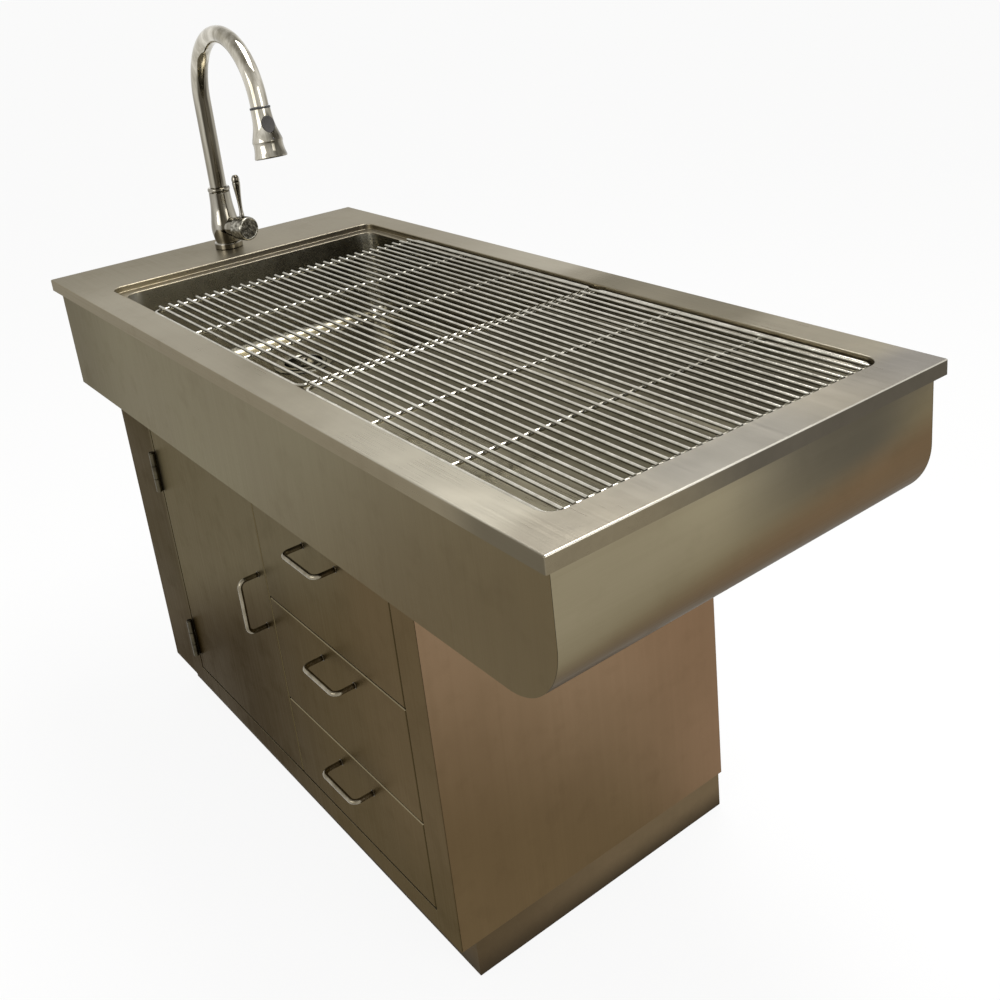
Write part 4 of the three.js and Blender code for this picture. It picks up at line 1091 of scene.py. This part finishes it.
def make_grate(name, x0, x1, body, node):
    crossings = [x0 + (x1 - x0) * third / 3 for third in range(4)]
    parts = [make_grate_frame(name, x0, x1)]
    parts += [make_cross_rod(x) for x in crossings[1:3]]
    rod, bead = make_long_rod(x0, x1), make_weld()
    for i in range(LONG_RODS):
        y = (i - LONG_RODS // 2) * ROD_PITCH
        parts.append(copy_of(rod, "long_rod", 0, y, 0))
        parts += [copy_of(bead, "weld", x, y, 0) for x in crossings]
    bpy.data.objects.remove(rod)
    bpy.data.objects.remove(bead)
    dress(join(name, *parts), body, "bright_wire", wire_steel, node)


# Handle: a round rod bent to a square U, each foot in a small weld fillet
HANDLE_FOOT = -271.3
HANDLE_REACH = 34
HANDLE_BEND = 12
ROD_RADIUS = 4.0
FILLET_RADIUS = 4.3
WELD_RADIUS = 5.4


def make_handle(name, first, last, body, node):
    """first and last are the feet, each given by its x and z."""
    first, last = (Vector((foot[0], HANDLE_FOOT, foot[1])) for foot in (first, last))
    along = (last - first).normalized()
    straight = HANDLE_REACH - HANDLE_BEND - 1.7
    rod, at, heading = ring_at(name, first, FRONT, WELD_RADIUS, 20)
    narrower, rod_wide = FILLET_RADIUS / WELD_RADIUS, ROD_RADIUS / FILLET_RADIUS
    at = stepped(at, heading, [(0.8, narrower), (0.9, rod_wide)])
    at = run(at, heading, straight)
    at, heading = bend(at, heading, along, HANDLE_BEND, 90, 9)
    at = run(at, heading, (last - first).length - 2 * HANDLE_BEND)
    at, heading = bend(at, heading, BACK, HANDLE_BEND, 90, 9)
    at = run(at, heading, straight)
    stepped(at, heading, [(0.9, 1 / rod_wide), (0.8, 1 / narrower)])
    finish_capped()
    dress(rod, body, "bright_wire", handle_steel, node)


# Turned pieces: a ring drawn out through a table of radii and distances
def turned(name, foot, heading, profile, sides, closed=True):
    """profile holds pairs of radius and distance from the foot."""
    heading = Vector(heading).normalized()
    foot = Vector(foot)
    radius, far = profile[0]
    piece, at, heading = ring_at(name, foot + heading * far, heading, radius, sides)
    for next_radius, next_far in profile[1:]:
        run(at, heading, next_far - far)
        at = (foot + heading * next_far) * MM
        widen(at, next_radius / radius)
        radius, far = next_radius, next_far
    if closed:
        finish_capped()
    else:
        finish_open()
    return piece


def smoothed(profile, steps=5):
    """Runs a smooth curve through the points of a profile."""
    points = [Vector(p) for p in profile]
    made = []
    for i in range(len(points) - 1):
        before = points[max(i - 1, 0)]
        here, after = points[i], points[i + 1]
        beyond = points[min(i + 2, len(points) - 1)]
        for k in range(steps):
            t = k / steps
            made.append(tuple(0.5 * (
                2 * here + (after - before) * t
                + (2 * before - 5 * here + 4 * after - beyond) * t * t
                + (3 * here - before - 3 * after + beyond) * t * t * t
            )))
    made.append(tuple(points[-1]))
    return made


def oval_bar(name, start, end, long_way, half_long, half_short, sides):
    """A straight bar with an oval section between two points."""
    way = (end - start).normalized()
    short_way = way.cross(long_way)
    bpy.ops.mesh.primitive_cylinder_add(vertices=sides, radius=1, depth=1)
    piece = bpy.context.object
    piece.name = name
    turn = Matrix((
        long_way * half_long * MM, short_way * half_short * MM, (end - start) * MM,
    )).transposed().to_4x4()
    piece.data.transform(Matrix.Translation((start + end) / 2 * MM) @ turn)
    return piece


# Tap: body with base ring and side valve, collar, arched spout, spray and mixer lever
VALVE_TURN = math.radians(15)
VALVE = Vector((math.cos(VALVE_TURN), math.sin(VALVE_TURN), 0))
VALVE_FOOT = Vector((-665, 3, 942))
LEVER_FOOT = VALVE_FOOT + VALVE * 56.3
SPOUT_FOOT = 121.6
ARCH_START = 290
ARCH_RADIUS = 125
ARCH_DEGREES = 172
TUBE_RADIUS = 16
TUBE_TIP = 15.4
TUBE_BORE = 13.5
TUBE_EDGE = 0.6
SPOUT_END = Vector((-414.27, 3, 1193.53))
SPRAY_WAY = Vector((0.13917, 0, -0.99027))
SPRAY_TOP = SPOUT_END + SPRAY_WAY * 0.3
BUTTON_WAY = Vector((0.99027, 0, 0.13917))
BUTTON_FOOT = SPRAY_TOP + SPRAY_WAY * 32
BUTTON_TOP = 20
BUTTON_LONG = 15
BUTTON_SHORT = 11.5


def make_tap_body():
    swell = smoothed([
        (23.4, 12.4), (23.8, 15), (25.6, 22.4), (27.2, 31.4), (27.5, 40.3), (26.4, 51.5),
        (23.9, 67.2), (21.5, 87.4), (20.4, 111),
    ])
    post = turned("tap_body_casting", TAP, UP, [
        (16, -48), (16, 0), (26, 0), (27, 1), (27, 9.6), (26.4, 11), (25, 12), *swell,
        (20.2, 111.3), (19.7, 111.5), (17, 111.5), (17, 112),
    ], 64)
    valve = turned("valve_barrel", VALVE_FOOT, VALVE, [
        (10, 4), (19, 4), (19, 36.8), (18.6, 37.4), (17.6, 37.8), (17.6, 38.8), (18.7, 39.1),
        (18.7, 39.7), (18.2, 40),
    ], 56)
    carve(post, valve, "UNION")
    dress(post, "table", "tap_chrome", chrome, "tap_body")


def make_tap_collar():
    collar = turned("tap_collar_ring", TAP + UP * 112.3, UP, [
        (19.6, 0), (20.6, 0.6), (21.2, 1.8), (21.5, 3.2), (21.5, 5.6), (21.0, 7.2),
        (20.0, 8.4), (18.6, 9),
    ], 64)
    dress(collar, "spout", "tap_chrome", chrome, "tap_collar")


def make_spout():
    spout, at, heading = ring_at("tap_spout_tube", TAP + UP * SPOUT_FOOT, UP, TUBE_TIP, 40)
    at = stepped(at, heading, [(TUBE_EDGE, TUBE_RADIUS / TUBE_TIP)])
    at = run(at, heading, ARCH_START - SPOUT_FOOT - 0.3 - TUBE_EDGE)
    at, heading = bend(at, heading, RIGHT, ARCH_RADIUS, ARCH_DEGREES, 56)
    at = run(at, heading, 13.4)
    at = stepped(at, heading, [(TUBE_EDGE, TUBE_TIP / TUBE_RADIUS)])
    bpy.ops.mesh.extrude_region_move()
    widen(at, TUBE_BORE / TUBE_TIP)
    run(at, -heading, 12.6)
    finish_capped()
    dress(spout, "spout", "tap_chrome", chrome, "tap_spout")
    dock_profile = [(12.4, -12), (13, -11.4), (13, 0)]
    dock = turned("spray_docking_collar", SPOUT_END, SPRAY_WAY, dock_profile, 40)
    dress(dock, "spout", "grey_plastic", dark_plastic, "spray_dock")


def make_spray_head():
    shell = smoothed([
        (17.5, 4.4), (17.7, 14.4), (18.6, 26), (20.3, 36), (23.0, 46), (25.7, 55), (26.9, 60.5),
    ], 4)
    bell = smoothed([(25.9, 66.5), (26.1, 72), (27.1, 79), (28.7, 86), (29, 87.4)], 4)
    head = turned("spray_head_shell", SPRAY_TOP, SPRAY_WAY, [
        (16.6, 0), (17.4, 0.6), (17.6, 1.6), (17.5, 3.6), (17.0, 3.9), (17.0, 4.2), *shell,
        (26.6, 62.4), (26.0, 63.4), *bell, (28.8, 89), (28.1, 90), (23.8, 90), (23.8, 84),
    ], 72)
    seal = turned("spray_seal_ring", SPRAY_TOP, SPRAY_WAY, [
        (16.9, 0.15), (17.8, 0.4), (18.1, 1.0), (18.1, 3.3), (17.8, 3.8), (17.0, 4.1),
    ], 56)
    dress(seal, "spray", "grey_plastic", dark_plastic)
    recess = oval_bar(
        "button_recess_tool", BUTTON_FOOT + BUTTON_WAY * 12.25, BUTTON_FOOT + BUTTON_WAY * 40,
        SPRAY_WAY, BUTTON_LONG + 0.3, BUTTON_SHORT + 0.3, 48,
    )
    carve(head, recess)
    softened(head, 0.35, 55)
    dress(head, "spray", "tap_chrome", chrome, "spray_head")


def make_spray_button():
    button = oval_bar(
        "spray_button_cap", BUTTON_FOOT + BUTTON_WAY * 14.55,
        BUTTON_FOOT + BUTTON_WAY * BUTTON_TOP, SPRAY_WAY, BUTTON_LONG, BUTTON_SHORT, 56,
    )
    open_mesh(button)
    pick("FACE", lambda middle, way: way.dot(BUTTON_WAY) > 0.9)
    bpy.ops.mesh.inset(thickness=0.6 * MM, depth=0)
    top = BUTTON_FOOT + BUTTON_WAY * BUTTON_TOP
    pick("FACE", lambda middle, way: way.dot(BUTTON_WAY) > 0.9 and (middle - top).length < 2)
    for thickness, sink in ((1.2, 0.0), (2.2, -0.35), (2.6, -0.3), (2.2, -0.1)):
        bpy.ops.mesh.inset(thickness=thickness * MM, depth=sink * MM)

    def on_rim(at, way):
        out = at - BUTTON_FOOT
        oval = (out.dot(SPRAY_WAY) / BUTTON_LONG) ** 2 + (out.y / BUTTON_SHORT) ** 2
        return abs(out.dot(BUTTON_WAY) - BUTTON_TOP) < 0.05 and abs(oval - 1) < 0.03

    pick("EDGE", on_rim)
    bpy.ops.mesh.bevel(offset=0.55 * MM, segments=3)
    close_mesh()
    dress(button, "button", "grey_plastic", button_plastic, "spray_button")


def make_spray_pin():
    spot = SPRAY_TOP + SPRAY_WAY * 57.5 + BUTTON_WAY * 26.1
    pin = turned("spray_joint_pin", spot, BUTTON_WAY + SPRAY_WAY * -0.18, [
        (1.9, -1.6), (1.9, 0.2), (1.5, 0.5), (0.8, 0.6),
    ], 20)
    dress(pin, "spray", "grey_plastic", dark_plastic)


def make_spray_face():
    face = turned("spray_face_disc", SPRAY_TOP + SPRAY_WAY * 84.3, SPRAY_WAY, [
        (22.6, 0), (23.3, 0.6), (23.3, 3.4), (22.4, 4.6), (20.4, 5.1), (19.6, 5.1), (19.2, 4.5),
        (6, 4.5), (5.6, 5), (4, 5.2),
    ], 56)
    nozzle = turned("nozzle", SPRAY_TOP + SPRAY_WAY * 88.6, SPRAY_WAY, [
        (1.1, 0), (0.9, 0.8), (0.55, 1.35),
    ], 8)
    parts = [face]
    aside = SPRAY_WAY.cross(BACK)
    for radius, count in ((8.2, 8), (12.2, 12), (16.2, 18)):
        for i in range(count):
            turn = 2 * math.pi * i / count
            by = BACK * radius * math.cos(turn) + aside * radius * math.sin(turn)
            parts.append(copy_of(nozzle, "nozzle", *by))
    bpy.data.objects.remove(nozzle)
    dress(join("spray_face_disc", *parts), "spray", "grey_plastic", grey_plastic, "spray_face")


def make_mixer():
    hub = turned("mixer_hub_cap", VALVE_FOOT + VALVE * 40.3, VALVE, [
        (20.6, 0), (21.2, 0.2), (22.8, 1.6), (23.5, 3.8), (23.5, 27.5), (23.1, 29.4),
        (22.2, 31), (21.2, 31.8), (19.4, 32), (18.8, 31.4), (18.2, 31.2), (8, 31.2),
    ], 64)
    slot = cube("lever_slot_tool", (-5.6, -5.3, -5.6), (13.3, 5.3, 40))
    close_mesh()
    turn = Matrix.Rotation(VALVE_TURN, 4, "Z")
    slot.matrix_world = Matrix.Translation(mm(*LEVER_FOOT)) @ turn
    settle(slot)
    carve(hub, slot)
    softened(hub, 0.4, 55)
    dress(hub, "hub", "tap_chrome", hub_chrome, "mixer_hub")
    stem = smoothed([
        (4.9, 1.2), (4.9, 20), (4.75, 27), (4.1, 33), (3.9, 42), (4.5, 56), (5.9, 72),
        (7.2, 84), (7.7, 90),
    ], 4)
    tip = smoothed([
        (7.0, 92.2), (7.5, 94), (7.6, 97), (6.6, 101.6), (4.4, 104.9), (2.2, 105.9),
    ], 3)
    lever = turned("mixer_lever_stick", LEVER_FOOT, UP, [
        (3.4, -4.1), (4.1, -3.4), (4.6, 0), *stem, (7.5, 91.2), (7.0, 91.6), *tip,
    ], 36)
    dress(lever, "lever", "tap_chrome", chrome, "mixer_lever")


def make_tap_nut():
    nut = upright("tap_nut_hexagon", TAP, 889.2, DECK_UNDERSIDE, 27, 6)
    carve(nut, upright("nut_hole_tool", TAP, 885, 905, 16.3, 40))
    softened(nut, 0.6)
    dress(nut, "table", "zinc_steel", zinc, "tap_nut")


# Drain: flanged cup, ring nut, tailpiece and lift-out basket
def make_drain_cup():
    cup = turned("drain_cup_spinning", DRAIN, UP, [
        (38, 1.9), (38, -43), (37.4, -44.9), (35.4, -46), (20.3, -46), (20.3, -74), (22.3, -74),
        (22.3, -48), (37, -48), (39.4, -46.6), (40, -44.4), (40, 0.3), (54.6, 0.3), (56, 0.9),
        (55.6, 1.8), (54, 2.3), (42, 2.3), (39.4, 2.25),
    ], 56, closed=False)

    def at_mouth(at, way):
        out = at - DRAIN
        rims = ((39.4, 2), (38, 1.5))
        return abs(way.z) < 0.5 and any(
            abs(out.xy.length - radius) < 0.2 and out.z > height for radius, height in rims
        )

    open_mesh(cup)
    pick("EDGE", at_mouth)
    bpy.ops.mesh.bridge_edge_loops()
    finish_open()
    dress(cup, "table", "sink_steel", wire_steel, "drain_cup")


def make_drain_nut():
    nut = upright("drain_ring_nut", DRAIN, 703.2, 711.2, 47, 48)
    carve(nut, upright("nut_hole_tool", DRAIN, 695, 720, 40.3, 56))
    for i in range(6):
        turn = i * math.pi / 3
        middle = DRAIN + Vector((math.cos(turn), math.sin(turn), 0)) * 47.5
        carve(nut, upright("nut_notch_tool", middle, 700, 716, 3.2, 16))
    softened(nut, 0.5, 50)
    dress(nut, "table", "zinc_steel", zinc, "drain_locknut")


def make_drain_pipe():
    pipe = upright("drain_tail_pipe", DRAIN, 528.7, 664.7, 20, 48)
    carve(pipe, upright("pipe_bore_tool", DRAIN, 520, 670, 18, 48))
    softened(pipe, 0.4, 50)
    dress(pipe, "table", "tap_chrome", chrome, "drain_tailpiece")


def make_basket():
    floor = -34
    basket = turned("strainer_basket_cup", DRAIN, UP, [
        (4, floor), (29.6, floor), (31.6, floor + 0.6), (36.8, floor + 5.2), (37.4, floor + 6.4),
        (37.4, 2.6), (43.2, 2.6), (44, 3.2), (43.8, 4.2), (42.6, 4.6), (36.6, 4.6), (35.5, 3.4),
        (35.4, floor + 7.4), (34.6, floor + 6.2), (30.4, floor + 2.4), (28.8, floor + 2),
        (4.6, floor + 2), (3.5, floor + 3.2), (3.5, -2.4), (4.4, -1.2), (6.4, 1), (7, 2.6),
        (7, 8.2), (6.2, 10.2), (4.2, 11.4), (1.6, 11.6),
    ], 48)
    under = DRAIN.z + floor
    ring = 36.8 * 0.52
    rings = ((ring, 10, 3.4), (ring - 8.6, 6, 2.8), (ring + 6.6, 16, 2.4))
    for radius, count, hole in rings:
        for i in range(count):
            turn = 2 * math.pi * (i + 0.13) / count
            middle = (DRAIN.x + radius * math.cos(turn), radius * math.sin(turn))
            carve(basket, upright("basket_hole_tool", middle, under - 3, under + 5, hole, 12))
    dress(basket, "strainer", "bright_wire", wire_steel, "strainer_basket")


# Hinges: turned barrels with leaves that reach into the gap beside the door
HINGE_AXIS = (-529.55, -277.1)
HINGE_LENGTH = 80
HINGE_GAP = 0.3
HINGE_SIDES = 28


def knuckle(low, high):
    return turned("knuckle", (*HINGE_AXIS, low), UP, [
        (4.9, 0), (5.5, 0.5), (5.5, high - low - 0.5), (4.9, high - low),
    ], HINGE_SIDES)


def hinge_leaf(name, side, z0, spans, rooms):
    """A leaf left or right of the axis, with knuckles over some spans, room for those of
    the other leaf, and a bore for the pin."""
    x, y = HINGE_AXIS
    near, far = x + side * 0.15, x + side * 1.15
    end = z0 + HINGE_LENGTH
    plate = cube("hinge_leaf", (min(near, far), y + 3.6, z0), (max(near, far), -254, end))
    close_mesh()
    for low, high in rooms:
        carve(plate, upright("knuckle_room_tool", HINGE_AXIS, low, high, 5.8, HINGE_SIDES))
    leaf = join(name, plate, *(knuckle(low, high) for low, high in spans))
    carve(leaf, upright("pin_room_tool", HINGE_AXIS, z0 - 5, end + 5, 3.3, HINGE_SIDES))
    return leaf


def make_hinge(level, z0):
    third = HINGE_LENGTH / 3
    end = z0 + HINGE_LENGTH
    lower, upper = z0 + third, z0 + 2 * third
    frame_leaf = hinge_leaf(
        f"hinge_{level}_frame_side", -1, z0,
        [(z0, lower - HINGE_GAP), (upper + HINGE_GAP, end)],
        [(lower - HINGE_GAP, upper + HINGE_GAP)],
    )
    dress(frame_leaf, "table", "zinc_steel", hinge_zinc_shaded, f"hinge_{level}_frame_leaf")
    door_leaf = hinge_leaf(
        f"hinge_{level}_door_side", 1, z0,
        [(lower + HINGE_GAP, upper - HINGE_GAP)],
        [(z0 - 5, lower + HINGE_GAP), (upper - HINGE_GAP, end + 5)],
    )
    dress(door_leaf, "door", "zinc_steel", hinge_zinc_shaded, f"hinge_{level}_door_leaf")
    pin = turned(f"hinge_{level}_pin_rod", (*HINGE_AXIS, z0), UP, [
        (2.2, -0.6), (3, 0), (3, 80.3), (4.6, 80.3), (5.2, 80.8), (4.9, 81.4), (3.4, 81.8),
    ], HINGE_SIDES)
    dress(pin, "table", "zinc_steel", hinge_zinc_shaded, f"hinge_{level}_pin")


# The whole table, piece by piece
make_deck()
make_apron("apron_front_sheet", -313, "apron_front")
make_apron("apron_back_sheet", 311.5, "apron_back")
make_belly()
make_sink()
make_tray()
make_grate("grate_left_wire", -386, 141, "left_grate", "grate_left")
make_grate("grate_right_wire", 155, 682, "right_grate", "grate_right")
make_drain_cup()
make_drain_nut()
make_drain_pipe()
make_basket()

copied_sheets = [
    ("trough_end_left", "table", "deck_steel", end_steel, 0.4),
    ("face_frame", "table", "cabinet_steel", front_steel, 0.5),
    ("cabinet_side_left", "table", "cabinet_steel", side_steel, 0.6),
    ("cabinet_side_right", "table", "cabinet_steel", side_steel, 0.6),
    ("cabinet_floor", "table", "cabinet_steel", inner_steel, 0.4),
    ("partition_left", "table", "cabinet_steel", inner_steel, 0.5),
    ("partition_right", "table", "cabinet_steel", inner_steel, 0.5),
    ("plinth", "table", "cabinet_steel", plinth_steel, 0.6),
    ("door_strike", "door", "zinc_steel", zinc, 0.3),
    ("door_magnet", "table", "catch_plastic", dark_plastic, 0.6),
]
for level in LEVELS:
    copied_sheets.append((f"drawer_{level}_box", f"drawer_{level}", "zinc_steel", zinc, 0.4))
    for side in ("left", "right"):
        copied_sheets.append((f"drawer_{level}_runner_{side}", "table", "zinc_steel", zinc, 0.3))
for node, body, slot, material, width in copied_sheets:
    dress(folded_copy(node, width), body, slot, material, node)
make_back()
folded_front("door_panel", "door")
for level in LEVELS:
    folded_front(f"drawer_{level}_front", f"drawer_{level}")

make_handle("door_handle_rod", (-128.1, 393.5), (-128.1, 491.5), "door", "door_handle")
for level, z in zip(LEVELS, (230.1695, 426.9561, 623.2)):
    drawer = f"drawer_{level}"
    make_handle(f"{drawer}_handle_rod", (71.45, z), (169.45, z), drawer, f"{drawer}_handle")
make_hinge("lower", 141.5)
make_hinge("upper", 508.2)
make_tap_body()
make_tap_collar()
make_spout()
make_spray_head()
make_spray_button()
make_spray_pin()
make_spray_face()
make_mixer()
make_tap_nut()
